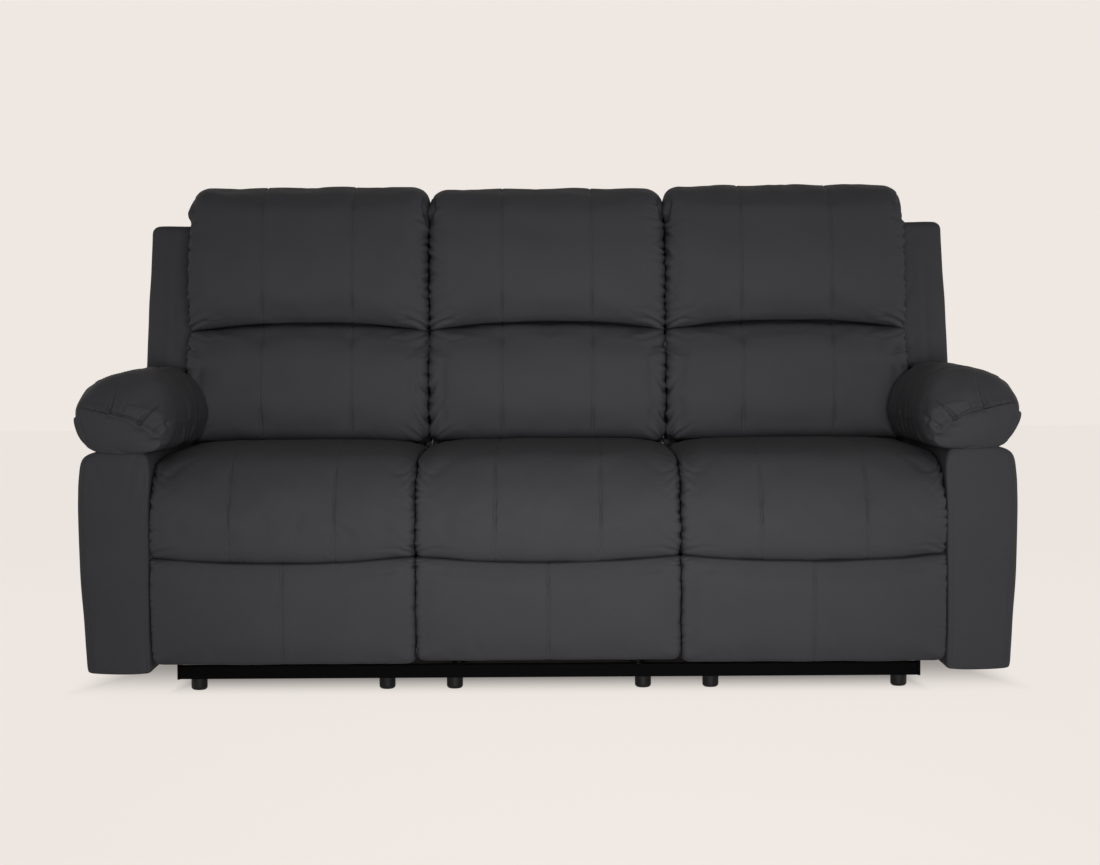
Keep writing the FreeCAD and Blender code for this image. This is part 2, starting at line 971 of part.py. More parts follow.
def make_drive_links(centre):
    """The two driving links and the torque tube, welded between them, that makes them turn together."""

    def one():
        points = [drive_pivot, elbow, control_low]
        bar = link(points, [drive_tube_radius + 5, link_end_radius, link_end_radius], drive_x)
        y, z = elbow
        pin = rod(drive_x + steel, footrest_link_x + steel + pin_head, y, z, pin_radius)
        y, z = control_low
        low_pin = rod(control_x - pin_head, drive_x, y, z, pin_radius)
        return bar.fuse([pin, low_pin]).removeSplitter()

    y, z = drive_pivot
    tube = rod(centre - drive_x, centre + drive_x, y, z, drive_tube_radius)
    bore = rod(centre - drive_x, centre + drive_x, y, z, drive_tube_radius - drive_tube_wall)
    return both_sides(one, centre) + [tube.cut(bore)]


def make_footrest_links(centre):
    """The long links from the elbow to the footrest, each with an ear for the guide link."""

    def one():
        bar = link([guide_low, elbow, footrest_pivot], [link_end_radius] * 3, footrest_link_x)
        for place in (elbow, footrest_pivot):
            y, z = place
            bar = bar.cut(rod(footrest_link_x - 1, footrest_link_x + steel + 1, y, z, pin_radius + fit_gap))
        y, z = guide_low
        pin = rod(footrest_link_x + steel, guide_x + steel, y, z, pin_radius)
        return bar.fuse(pin).removeSplitter()

    return both_sides(one, centre)


def make_guide_links(centre):
    """The links that run beside the driving links and keep the long links level."""

    def one():
        bar = link([guide_high, guide_low], [link_end_radius, open_end_radius], guide_x)
        y, z = guide_high
        bar = bar.cut(rod(guide_x - 1, guide_x + steel + 1, y, z, pin_radius + fit_gap))
        y, z = guide_low
        return bar.cut(rod(guide_x - 1, guide_x + steel + 1, y, z, open_hole_radius))

    return both_sides(one, centre)


def make_control_links(centre):
    """The links that turn the footrest up as it goes out."""

    def one():
        bar = link([control_low, control_high], [link_end_radius, open_end_radius], control_x)
        y, z = control_low
        bar = bar.cut(rod(control_x - 1, control_x + steel + 1, y, z, pin_radius + fit_gap))
        y, z = control_high
        return bar.cut(rod(control_x - 1, control_x + steel + 1, y, z, open_hole_radius))

    return both_sides(one, centre)


def make_back_frame(centre):
    """The welded tube frame of one back, with the brackets that hang it on the seat plates."""
    bracket_x = seat_plate_x + plate_step
    reach = bracket_x + steel
    hinge_y, hinge_z = hinge

    def tube(x0, x1, z0, z1):
        corners = [
            Vector(x0, frame_y(z0), z0),
            Vector(x0, frame_y(z1), z1),
            Vector(x0, frame_y(z1) + back_tube_depth, z1),
            Vector(x0, frame_y(z0) + back_tube_depth, z0),
        ]
        wire = Part.makePolygon(corners + corners[:1])
        return Part.Face(wire).extrude(Vector(x1 - x0, 0, 0))

    def plate():
        wire = rounded(
            "yz",
            bracket_x,
            [
                (hinge_y - 18, hinge_z - 18, 12),
                (frame_y(hinge_z) + back_tube_depth, hinge_z - 22, 6),
                (frame_y(bracket_top) + back_tube_depth, bracket_top, 6),
                (frame_y(bracket_top), bracket_top, 6),
                (hinge_y - 14, hinge_z + 18, 12),
            ],
        )
        pin = rod(seat_plate_x - pin_head, bracket_x, hinge_y, hinge_z, hinge_pin_radius)
        return prism(wire, steel).fuse(pin)

    def post():
        return tube(reach, reach + back_tube, back_frame_bottom, back_frame_top)

    rails = [tube(centre - reach, centre + reach, z, z + back_tube) for z in back_rail_heights]
    return both_sides(plate, centre) + both_sides(post, centre) + rails


def shell_reach(name, side):
    """How far the shell of a back reaches to one side: outer backs reach out to their wing."""
    outer = name == "left" and side < 0 or name == "right" and side > 0
    return seat_half + (shell_extra if outer else 0)


def make_back_shell(name, centre):
    """The rear cover of one back: a bent panel with a top flange and side returns."""
    x0 = centre - shell_reach(name, -1)
    x1 = centre + shell_reach(name, 1)
    t = shell_thickness
    low_y, low_z = shell_rear_low
    high_y, high_z = shell_rear_high
    flange_y = frame_y(shell_top) + 4
    skin = prism(
        outline(
            "yz",
            x0,
            [
                (low_y - t, low_z),
                (low_y, low_z),
                (high_y, high_z),
                ((high_y - 6, high_z + 28), (high_y - 32, shell_top)),
                (flange_y, shell_top),
                (flange_y, shell_top - t),
                (high_y - 34, shell_top - t),
                ((high_y - 16, high_z + 18), (high_y - t, high_z)),
            ],
        ),
        x1 - x0,
    )
    flanks = []
    for x in (x0, x1 - t):
        flanks.append(
            prism(
                outline(
                    "yz",
                    x,
                    [
                        (shell_y(flank_bottom) - t + 1, flank_bottom),
                        (high_y - t + 1, high_z),
                        (high_y - 36, shell_top - t + 2),
                        (flange_y + 4, shell_top - t + 2),
                        (frame_y(lumbar_bottom) + 4, lumbar_bottom),
                        (shell_y(flank_bottom) - t - 30, flank_bottom),
                    ],
                ),
                t,
            )
        )
    shell = skin.fuse(flanks).removeSplitter()
    for side in sides:
        if shell_reach(name, side) > seat_half:
            inner = centre + side * seat_half
            outer = centre + side * (seat_half + 2 * shell_extra)
            shell = shell.cut(block(min(inner, outer), max(inner, outer), 0, beyond, 0, wing_bottom))
    return shell


def head_section(x, draw, drop):
    """A side-view section of the headrest lobe, which rolls over the top of the back."""
    top = back_top - drop
    shoulder = shell_top + touch_gap
    return outline(
        "yz",
        x,
        [
            (frame_y(valley_z) - touch_gap, valley_z + 1),
            (head_foot_y + draw * 0.8, valley_z + 1),
            (
                (head_belly[0] + draw, head_belly[1] - drop * 0.3),
                (head_chest[0] + draw, head_chest[1] - drop * 0.7),
            ),
            ((head_brow[0] + draw * 0.9, head_brow[1] - drop), (head_peak_y + draw * 0.4, top)),
            ((head_rear_y - 57, top - 5), (head_rear_y, shoulder)),
            (frame_y(shell_top) - touch_gap, shoulder),
        ],
    )


def lumbar_section(x, draw, lift):
    """A side-view section of the lower back lobe."""
    low = lumbar_bottom + lift
    return outline(
        "yz",
        x,
        [
            (frame_y(lumbar_bottom) - touch_gap, low),
            (lumbar_foot_y + draw, low),
            ((lumbar_belly[0] + draw, lumbar_belly[1]), (lumbar_chest[0] + draw, lumbar_chest[1])),
            (
                (lumbar_brow[0] + draw * 0.9, lumbar_brow[1]),
                (lumbar_top_y + draw * 0.7, valley_z - 1),
            ),
            (frame_y(valley_z) - touch_gap, valley_z - 1),
        ],
    )


def make_back_cushion(name, centre):
    """The two filled lobes of one back, with the tail that tucks in behind the seat cushion."""
    left = -shell_reach(name, -1)
    right = shell_reach(name, 1)
    middle = (left + right) / 2
    half = (right - left) / 2 - 1
    head = []
    for x, draw in spread(half, [(0, 44.0), (9, 24.0), (30, 8.0), (75, 1.0)]):
        head.append(head_section(centre + middle + x, draw, draw * 1.15))
    lumbar = []
    for x, draw in spread(half, [(0, 42.0), (10, 18.0), (40, 4.0)]):
        lumbar.append(lumbar_section(centre + middle + x, draw, draw * 0.62))
    tail = block(
        centre - runner_offset + 12,
        centre + runner_offset - 12,
        cushion_rear + 22,
        frame_y(tail_bottom) - 1,
        tail_bottom,
        lumbar_bottom + 2,
    )
    return [Part.makeLoft(head, True, True), Part.makeLoft(lumbar, True, True).fuse(tail)]


def make_wing():
    """The padded wing beside the right back, tapering towards its rounded top."""
    sections = []
    for z, shrink in ((wing_bottom, 0.0), (wing_top - 22, 0.0), (wing_top - 6, 5.0), (wing_top, 14.0)):
        share = (z - wing_bottom) / (wing_top - wing_bottom)
        outer = wing_outer_x + (wing_top_x - wing_outer_x) * share - shrink
        front = wing_front(z) + shrink
        rear = shell_y(z) - shrink
        sections.append(
            rounded(
                "xy",
                z,
                [
                    (wing_inner_x, front, 3),
                    (outer, front, 20),
                    (outer, rear, 14),
                    (wing_inner_x, rear, 3),
                ],
            )
        )
    return Part.makeLoft(sections, True, True)


def make_release_tab(centre):
    """The pull tab of the middle seat: a strap that stands in the seam beside the seat and runs on a bolt."""
    x = centre - seat_half - seat_gap / 2 - tab_thickness / 2
    stem_y = frame_rear_y - frame_rail_depth / 2
    half = 11.0
    low = cushion_base - 34.0
    wire = rounded(
        "yz",
        x,
        [
            (stem_y - half, low, 8),
            (stem_y + half, low, 8),
            (stem_y + half, cushion_base + 38, 10),
            (tab_y + 15, cushion_base + 66, 10),
            (tab_y + 15, tab_top, 11),
            (tab_y - 15, tab_top, 11),
            (tab_y - 15, cushion_base + 58, 10),
            (stem_y - half, cushion_base + 26, 10),
        ],
    )
    tab = prism(wire, tab_thickness)
    radius = tab_bolt_radius + slot_gap
    for z in (tab_bolt_z, tab_bolt_z - tab_travel):
        tab = tab.cut(rod(x - 1, x + tab_thickness + 1, stem_y, z, radius))
    low_z = tab_bolt_z - tab_travel
    slot = block(x - 1, x + tab_thickness + 1, stem_y - radius, stem_y + radius, low_z, tab_bolt_z)
    return tab.cut(slot)


def make_tab_guide(centre):
    """The block and shouldered bolt on the end of the rear rail that the pull tab runs on."""
    rail_end = centre - seat_half + 4
    face = centre - seat_half - seat_gap / 2 + tab_thickness / 2 + slot_gap
    y1 = frame_rear_y
    y0 = frame_rear_y - frame_rail_depth
    top = cushion_base - webbing_thickness * 2 - touch_gap
    guide = block(face, rail_end, y0, y1, top - frame_board, top)
    middle = (y0 + y1) / 2
    bolt = rod(face - tab_thickness - 2 * slot_gap, face, middle, tab_bolt_z, tab_bolt_radius)
    head_end = face - tab_thickness - 2 * slot_gap
    head = rod(head_end - 1.2, head_end, middle, tab_bolt_z, tab_bolt_radius + 2.5)
    return guide.fuse([bolt, head]).removeSplitter()


save("glide_feet", *make_feet())
save("base_rails", *make_base_rails())
save("base_runners", *make_runners())
slide_solids = []
for seat_x in seats.values():
    slide_solids += both_sides(make_slide_plate, seat_x) + make_bolts(seat_x)
save("slide_plates", *slide_solids)
save("arm_brackets", *make_arm_brackets())
save("rear_panel", make_rear_panel())
right_pieces = {
    "arm_cover": make_arm_cover,
    "arm_frame": make_arm_frame,
    "arm_pad": make_pad,
    "release_paddle": make_paddle,
    "wing": make_wing,
}
for label, make in right_pieces.items():
    piece = make()
    save(label + "_right", piece)
    save(label + "_left", mirrored(piece))
cup = make_cup()
save("handle_cups", cup, mirrored(cup))
save("release_tab_centre", make_release_tab(0.0))
for seat_name, seat_x in seats.items():
    save("seat_plates_" + seat_name, *make_seat_plates(seat_x))
    frame_solids = make_seat_frame(seat_x)
    if seat_name == "centre":
        frame_solids.append(make_tab_guide(seat_x))
    save("seat_frame_" + seat_name, *frame_solids)
    save("seat_webbing_" + seat_name, *make_webbing(seat_x))
    save("seat_cushion_" + seat_name, make_seat_cushion(seat_x))
    save("footrest_pad_" + seat_name, make_footrest_pad(seat_x))
    save("footrest_board_" + seat_name, make_footrest_board(seat_x))
    save("footrest_brackets_" + seat_name, *make_footrest_brackets(seat_x))
    save("drive_links_" + seat_name, *make_drive_links(seat_x))
    save("footrest_links_" + seat_name, *make_footrest_links(seat_x))
    save("guide_links_" + seat_name, *make_guide_links(seat_x))
    save("control_links_" + seat_name, *make_control_links(seat_x))
    save("back_frame_" + seat_name, *make_back_frame(seat_x))
    save("back_shell_" + seat_name, make_back_shell(seat_name, seat_x))
    save("back_cushion_" + seat_name, *make_back_cushion(seat_name, seat_x))
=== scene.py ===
"""The looks of a three-seat reclining sofa: charcoal leather over foam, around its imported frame."""

import math
import random

import bmesh
import bpy
import numpy as np
from bpy.props import FloatProperty, PointerProperty, StringProperty
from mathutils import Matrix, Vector


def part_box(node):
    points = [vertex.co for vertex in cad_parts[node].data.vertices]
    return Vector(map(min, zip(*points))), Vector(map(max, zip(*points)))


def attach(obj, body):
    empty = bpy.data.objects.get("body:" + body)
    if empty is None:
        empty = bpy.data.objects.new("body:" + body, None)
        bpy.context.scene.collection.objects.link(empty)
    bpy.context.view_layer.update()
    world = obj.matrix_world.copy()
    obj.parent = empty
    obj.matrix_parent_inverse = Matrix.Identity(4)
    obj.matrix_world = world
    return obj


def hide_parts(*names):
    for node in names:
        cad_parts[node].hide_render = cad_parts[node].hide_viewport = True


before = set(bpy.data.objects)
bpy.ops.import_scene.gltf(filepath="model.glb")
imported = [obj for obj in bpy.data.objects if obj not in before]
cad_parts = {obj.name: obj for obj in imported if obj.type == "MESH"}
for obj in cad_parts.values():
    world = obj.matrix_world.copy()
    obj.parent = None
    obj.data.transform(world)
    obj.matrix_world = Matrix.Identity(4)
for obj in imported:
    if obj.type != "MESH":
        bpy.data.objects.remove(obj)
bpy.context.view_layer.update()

bl_info = {
    "name": "Reclining Sofa",
    "version": (1, 0, 0),
    "blender": (4, 5, 0),
    "location": "View3D > Sidebar > Sofa",
    "description": "Dresses the frame of a three-seat reclining sofa in padded leather",
    "category": "Object",
}

SEATS = ("left", "centre", "right")
FINISHES = {
    "padded_leather": "rolled bonded leather",
    "cover_leather": "rolled bonded leather",
    "tab_leather": "rolled bonded leather",
    "black_steel": "powder-coated sheet steel",
    "zinc_steel": "zinc-plated rolled steel",
    "plywood": "sanded birch plywood",
    "black_plastic": "moulded polypropylene",
    "webbing": "woven elastic webbing",
}
THREAD = "bonded polyester thread"

# Lengths are in metres, and places in the frame's own coordinates. Arms, pads and wings are given for
# the right side, and flipped for the left.

# seats: the top, and the lower front edge with its sag in the middle
SEAT_TOP = 0.500
LIP = 0.2965
LIP_SAG = 0.013
# footrests at rest: front and rear face of a pad
FOOT_FRONT = -0.4495
FOOT_REAR = -0.405
# backs: the height where head and lumbar lobes meet, how far each panel seam is from the middle, and
# half the width of the flap that tucks in
VALLEY = 0.773
BACK_SEAM = 0.102
TAIL_HALF = 0.186
# arms: the inner face, the underside, both ends, how high the rear end is, and how far the front seam
# is from the side
ARM_INNER = 0.808
ARM_FOOT = 0.0612
ARM_FRONT = -0.430
ARM_REAR = 0.335
ARM_REAR_TOP = 0.276
ARM_SEAM = 0.011
# the notch that the wing stands in: its front lower corner, and how far the edge above it leans back
NOTCH_Y = 0.109
NOTCH_Z = 0.342
NOTCH_LEAN = 0.4846
# the window in the arm's side for the moulded cup
CUP_FRONT, CUP_REAR = -0.178, -0.062
CUP_LOW, CUP_HIGH = 0.317, 0.383
# arm pads: the underside, the middle, both ends, the seam across the front, the two seams over the
# top, and the side of the back that they step clear of
PAD_BASE = 0.5136
PAD_MIDDLE = 0.857
PAD_FRONT = -0.452
PAD_REAR = 0.198
PAD_SEAM = PAD_BASE + 0.064
PAD_ROWS = (-0.360, -0.110)
BACK_SIDE = 0.823
# wings: lower and upper end
WING_FOOT = 0.386
WING_TOP = 1.002

# the camera, worked out from the picture: place, lens and film in mm, tilt and roll in degrees
EYE = (0.0066, -5.06, 0.731)
LENS = 75.04
FILM = 36.0
TILT = 2.31
ROLL = 0.35

# light that the room gives from all sides, and the share of its tone that the floor throws back
ROOM_LIGHT = 0.085
FLOOR_SHARE = 0.22
# lamps: place, aim, width, height, watts and spread in degrees
LAMPS = {
    "key": ((0.28, -4.7, 0.56), (0.10, 0.0, 0.47), 1.4, 0.7, 13.4, 50),
    "left": ((-4.6, -0.5, 0.70), (-0.9, 0.0, 0.45), 1.2, 0.8, 4.6, 70),
    "right": ((4.6, -0.7, 0.70), (0.9, 0.0, 0.45), 1.2, 0.8, 6.2, 70),
    "rear": ((0.0, 4.9, 0.62), (0.0, 0.0, 0.50), 1.4, 0.7, 11.0, 66),
}

# inputs of the stitch tree, and the sizes that they take
STITCH_INPUTS = {"Pitch": "stitch_pitch", "Length": "stitch_length", "Thickness": "thread"}
CLOTH_STEPS = 18

# by piece: sections and points in each, and where the sections lie; by kind: how a filled cushion moved
GRIDS = {}
ACROSS = {}
SWELLS = {}

# folds that run in from a side seam: points as distance in and height, then width and depth
SEAT_FOLDS = (
    (((0, 0.474), (0.020, 0.462), (0.055, 0.458)), 0.009, 0.0040),
    (((0, 0.462), (0.018, 0.450), (0.036, 0.428)), 0.009, 0.0036),
    (((0, 0.442), (0.016, 0.430), (0.030, 0.412)), 0.008, 0.0026),
    (((0, 0.302), (0.040, 0.313), (0.090, 0.309)), 0.010, 0.0026),
    (((0, 0.312), (0.030, 0.330), (0.050, 0.352)), 0.009, 0.0016),
)
FOOTREST_FOLDS = (
    (((0, 0.2755), (0.014, 0.2765), (0.026, 0.284)), 0.007, 0.0052),
    (((0, 0.283), (0.010, 0.284), (0.018, 0.290)), 0.005, 0.0036),
    (((0, 0.268), (0.030, 0.255), (0.050, 0.232)), 0.009, 0.0016),
    (((0.02, 0.268), (0.075, 0.262), (0.13, 0.266)), 0.012, 0.0012),
)
HEAD_FOLDS = (
    (((0, 0.760), (0.030, 0.776), (0.075, 0.778)), 0.010, 0.0060),
    (((0, 0.782), (0.040, 0.800), (0.085, 0.802)), 0.012, 0.0040),
    (((0, 0.812), (0.035, 0.838), (0.080, 0.856)), 0.012, 0.0034),
    (((0, 0.868), (0.030, 0.888), (0.060, 0.898)), 0.010, 0.0026),
    (((0.04, 0.778), (0.09, 0.800), (0.12, 0.830)), 0.012, 0.0018),
)
LUMBAR_FOLDS = (
    (((0, 0.508), (0.022, 0.545), (0.044, 0.580)), 0.011, 0.0090),
    (((0.006, 0.503), (0.040, 0.528), (0.070, 0.550)), 0.011, 0.0080),
    (((0, 0.548), (0.024, 0.586), (0.042, 0.622)), 0.010, 0.0060),
    (((0, 0.612), (0.022, 0.648), (0.044, 0.680)), 0.010, 0.0052),
    (((0, 0.748), (0.050, 0.733), (0.100, 0.742)), 0.012, 0.0030),
)


def colour(text):
    """An sRGB hex colour as the linear colour that shaders take."""
    parts = [int(text[i : i + 2], 16) / 255 for i in (1, 3, 5)]
    return [p / 12.92 if p <= 0.04045 else ((p + 0.055) / 1.055) ** 2.4 for p in parts] + [1.0]


class SofaSizes(bpy.types.PropertyGroup):
    """Sizes of the soft parts."""

    panel_seam: FloatProperty(
        name="Panel seam", description="Seams from a cushion's middle", default=0.107, unit="LENGTH"
    )
    seam_depth: FloatProperty(
        name="Seam depth", description="How far a seam pulls the leather in", default=0.0010, unit="LENGTH"
    )
    stitch_row: FloatProperty(
        name="Stitch row", description="Stitch row from its seam", default=0.004, unit="LENGTH"
    )
    stitch_pitch: FloatProperty(
        name="Stitch pitch", description="From one stitch to the next", default=0.0055, unit="LENGTH"
    )
    stitch_length: FloatProperty(
        name="Stitch length", description="Length of one stitch", default=0.0040, unit="LENGTH"
    )
    thread: FloatProperty(
        name="Thread", description="Thickness of the thread", default=0.0009, unit="LENGTH"
    )
    pressure: FloatProperty(name="Pressure", description="Air pressure that fills a cushion", default=4.0)
    swell: FloatProperty(
        name="Swell", description="The most a point of a cushion may move", default=0.014, unit="LENGTH"
    )


class SofaColours(bpy.types.PropertyGroup):
    """Colours of the finishes."""

    leather: StringProperty(name="Leather", description="Bonded leather", default="#444447")
    thread: StringProperty(name="Thread", description="Stitches", default="#2E2E30")
    steel: StringProperty(name="Black steel", description="Painted mechanism", default="#070708")
    zinc: StringProperty(name="Zinc", description="Plated plates and bolts", default="#8F9092")
    plywood: StringProperty(name="Plywood", description="Inner frame", default="#B4905F")
    plastic: StringProperty(name="Plastic", description="Glides, cups and paddles", default="#0C0C0D")
    webbing: StringProperty(name="Webbing", description="Elastic straps", default="#2B2B2C")
    room: StringProperty(name="Room", description="Floor and wall", default="#EFE8E2")


def node(tree, kind, inputs=None, **settings):
    """Adds a node, with its settings, and its inputs as values or as sockets to link from."""
    made = tree.nodes.new(kind)
    for name, value in settings.items():
        setattr(made, name, value)
    for key, value in (inputs or {}).items():
        if isinstance(value, bpy.types.NodeSocket):
            tree.links.new(value, made.inputs[key])
        else:
            made.inputs[key].default_value = value
    return made


def finish_of(name, text, roughness, **inputs):
    """A new material of one colour and roughness, with its node tree and its shader."""
    material = bpy.data.materials.new(name)
    material.use_nodes = True
    tree = material.node_tree
    shader = tree.nodes["Principled BSDF"]
    shader.inputs["Base Color"].default_value = colour(text)
    shader.inputs["Roughness"].default_value = roughness
    for key, value in inputs.items():
        shader.inputs[key.replace("_", " ")].default_value = value
    return material, tree, shader


def shade(tree, shader, fac, text, low, high):
    """Varies a colour between two strengths by a factor."""
    dark, light = ([c * part for c in colour(text)[:3]] + [1.0] for part in (low, high))
    # 6, 7 and 2 are the sockets that a mix of colours uses
    tone = node(tree, "ShaderNodeMix", {"Factor": fac, 6: dark, 7: light}, data_type="RGBA")
    tree.links.new(tone.outputs[2], shader.inputs["Base Color"])


def bonded_leather(name, text):
    """Bonded leather, split hide with a rolled polyurethane face: a pebbled grain under a satin coat."""
    material, tree, shader = finish_of(name, text, 0.60, Specular_IOR_Level=0.04)
    place = node(tree, "ShaderNodeTexCoord").outputs["Object"]
    # pebbles are about 1.4 mm across; drawn at 2.6 mm, so that they show from across a room, with
    # creases 10 mm apart and a slow change of tone over 110 mm
    pebble = node(tree, "ShaderNodeTexVoronoi", {"Vector": place, "Scale": 380.0}, feature="SMOOTH_F1")
    uneven = {"Vector": place, "Scale": 95.0, "Detail": 5.0, "Roughness": 0.62}
    crease = node(tree, "ShaderNodeTexNoise", uneven)
    broad = node(tree, "ShaderNodeTexNoise", {"Vector": place, "Scale": 9.0, "Detail": 3.0})
    shade(tree, shader, broad.outputs["Fac"], text, 0.93, 1.07)
    gloss = node(tree, "ShaderNodeMapRange", {"Value": crease.outputs["Fac"], "To Min": 0.54, "To Max": 0.68})
    tree.links.new(gloss.outputs[0], shader.inputs["Roughness"])
    relief = {"Height": pebble.outputs["Distance"], "Strength": 0.35, "Distance": 0.0012}
    grain = node(tree, "ShaderNodeBump", relief, invert=True)
    relief = {"Height": crease.outputs["Fac"], "Strength": 0.30, "Distance": 0.0016}
    folds = node(tree, "ShaderNodeBump", {**relief, "Normal": grain.outputs["Normal"]})
    tree.links.new(folds.outputs["Normal"], shader.inputs["Normal"])
    return material


def waxed_thread(name, text):
    """Bonded polyester thread: dull, with the twist of its plies."""
    material, tree, shader = finish_of(name, text, 0.62, Specular_IOR_Level=0.3)
    place = node(tree, "ShaderNodeTexCoord").outputs["Object"]
    # a ply every 1.1 mm
    twist = node(tree, "ShaderNodeTexNoise", {"Vector": place, "Scale": 900.0})
    bump = node(tree, "ShaderNodeBump", {"Height": twist.outputs["Fac"], "Strength": 0.4, "Distance": 0.0004})
    tree.links.new(bump.outputs["Normal"], shader.inputs["Normal"])
    return material


def powder_steel(name, text):
    """Sheet steel with a black powder coat: an even satin with a fine orange peel."""
    material, tree, shader = finish_of(name, text, 0.62, Specular_IOR_Level=0.02)
    place = node(tree, "ShaderNodeTexCoord").outputs["Object"]
    # peel of 2.4 mm, and rubbed patches of 45 mm
    peel = node(tree, "ShaderNodeTexNoise", {"Vector": place, "Scale": 420.0, "Detail": 2.0})
    rub = node(tree, "ShaderNodeTexNoise", {"Vector": place, "Scale": 22.0, "Detail": 4.0})
    shade(tree, shader, rub.outputs["Fac"], text, 0.85, 1.25)
    bump = node(tree, "ShaderNodeBump", {"Height": peel.outputs["Fac"], "Strength": 0.2, "Distance": 0.0004})
    tree.links.new(bump.outputs["Normal"], shader.inputs["Normal"])
    return material


def zinc_plate(name, text):
    """Zinc-plated steel, rolled and bright-dipped: metal with soft streaks along the sheet."""
    material, tree, shader = finish_of(name, text, 0.34, Metallic=1.0)
    place = node(tree, "ShaderNodeTexCoord").outputs["Object"]
    # streaks 33 mm long and 2.5 mm apart
    along = node(tree, "ShaderNodeMapping", {"Vector": place, "Scale": (30.0, 30.0, 400.0)})
    streak = node(tree, "ShaderNodeTexNoise", {"Vector": along.outputs[0], "Scale": 1.0, "Detail": 4.0})
    shade(tree, shader, streak.outputs["Fac"], text, 0.85, 1.05)
    gloss = node(tree, "ShaderNodeMapRange", {"Value": streak.outputs["Fac"], "To Min": 0.26, "To Max": 0.44})
    tree.links.new(gloss.outputs[0], shader.inputs["Roughness"])
    return material


def birch_ply(name, text):
    """Birch plywood, sanded and left bare: pale rings stretched along the board, no gloss."""
    material, tree, shader = finish_of(name, text, 0.68, Specular_IOR_Level=0.3)
    place = node(tree, "ShaderNodeTexCoord").outputs["Object"]
    # rings 8 mm apart that run 170 mm along the board
    along = node(tree, "ShaderNodeMapping", {"Vector": place, "Scale": (3.0, 60.0, 60.0)})
    ring = node(tree, "ShaderNodeTexNoise", {"Vector": along.outputs[0], "Scale": 2.0, "Detail": 6.0})
    shade(tree, shader, ring.outputs["Fac"], text, 0.72, 1.18)
    bump = node(tree, "ShaderNodeBump", {"Height": ring.outputs["Fac"], "Strength": 0.2, "Distance": 0.0005})
    tree.links.new(bump.outputs["Normal"], shader.inputs["Normal"])
    return material


def moulded_plastic(name, text):
    """Injection-moulded polypropylene with a spark-eroded texture: dull, finely stippled."""
    material, tree, shader = finish_of(name, text, 0.60, Specular_IOR_Level=0.2)
    place = node(tree, "ShaderNodeTexCoord").outputs["Object"]
    # a stipple of 1.4 mm
    stipple = node(tree, "ShaderNodeTexNoise", {"Vector": place, "Scale": 700.0, "Detail": 2.0})
    shade(tree, shader, stipple.outputs["Fac"], text, 0.9, 1.15)
    relief = {"Height": stipple.outputs["Fac"], "Strength": 0.3, "Distance": 0.0004}
    bump = node(tree, "ShaderNodeBump", relief)
    tree.links.new(bump.outputs["Normal"], shader.inputs["Normal"])
    return material


def elastic_webbing(name, text):
    """Woven elastic webbing: dull cords 3 mm apart along the strap, crossed by a tight weft."""
    material, tree, shader = finish_of(name, text, 0.8, Specular_IOR_Level=0.25)
    place = node(tree, "ShaderNodeTexCoord").outputs["Object"]
    weave = {"Vector": place, "Scale": 105.0, "Distortion": 0.4}
    cords = node(tree, "ShaderNodeTexWave", weave)
    weft = node(tree, "ShaderNodeTexWave", weave, bands_direction="Y")
    pair = {0: cords.outputs["Fac"], 1: weft.outputs["Fac"]}
    both = node(tree, "ShaderNodeMath", pair, operation="MULTIPLY")
    shade(tree, shader, both.outputs[0], text, 0.6, 1.5)
    bump = node(tree, "ShaderNodeBump", {"Height": both.outputs[0], "Strength": 0.5, "Distance": 0.0008})
    tree.links.new(bump.outputs["Normal"], shader.inputs["Normal"])
    return material


def closed_curve(knots):
    """A smooth closed curve through knots (a, b, count), with count points from each to the next."""
    places = np.array([k[:2] for k in knots], float)
    total = len(places)
    out = []
    for i, knot in enumerate(knots):
        p0, p1, p2, p3 = (places[(i + k) % total] for k in (-1, 0, 1, 2))
        t1 = max(np.linalg.norm(p1 - p0), 1e-6) ** 0.5
        t2 = t1 + max(np.linalg.norm(p2 - p1), 1e-6) ** 0.5
        t3 = t2 + max(np.linalg.norm(p3 - p2), 1e-6) ** 0.5
        t = np.linspace(t1, t2, knot[2] + 1)[:-1, None]
        a1 = (t1 - t) / t1 * p0 + t / t1 * p1
        a2 = (t2 - t) / (t2 - t1) * p1 + (t - t1) / (t2 - t1) * p2
        a3 = (t3 - t) / (t3 - t2) * p2 + (t - t2) / (t3 - t2) * p3
        b1 = (t2 - t) / t2 * a1 + t / t2 * a2
        b2 = (t3 - t) / (t3 - t1) * a2 + (t - t1) / (t3 - t1) * a3
        out.append((t2 - t) / (t2 - t1) * b1 + (t - t1) / (t2 - t1) * b2)
    return np.concatenate(out)


def columns(low, high, seams, step=0.010, row=0.004):
    """Places across a cushion, close together at its ends and around its seams."""
    places = {low, high}
    for inset in (0.001, 0.003, 0.006, 0.010, 0.015, 0.021):
        places.update((low + inset, high - inset))
    for seam in seams:
        places.update((seam - 2.2 * row, seam - row, seam - 0.0014, seam))
        places.update((seam + 0.0014, seam + row, seam + 2.2 * row))
    fixed = sorted(places)
    out = [fixed[0]]
    for a, b in zip(fixed, fixed[1:]):
        pieces = max(1, round((b - a) / step))
        out += [a + (b - a) * (k + 1) / pieces for k in range(pieces)]
    return out


def end_draw(inset, roll):
    """How far a rounded end has drawn in, at a distance from that end."""
    return roll * (1 - math.sqrt(max(0.0, 1 - max(0.0, 1 - inset / roll) ** 2)))


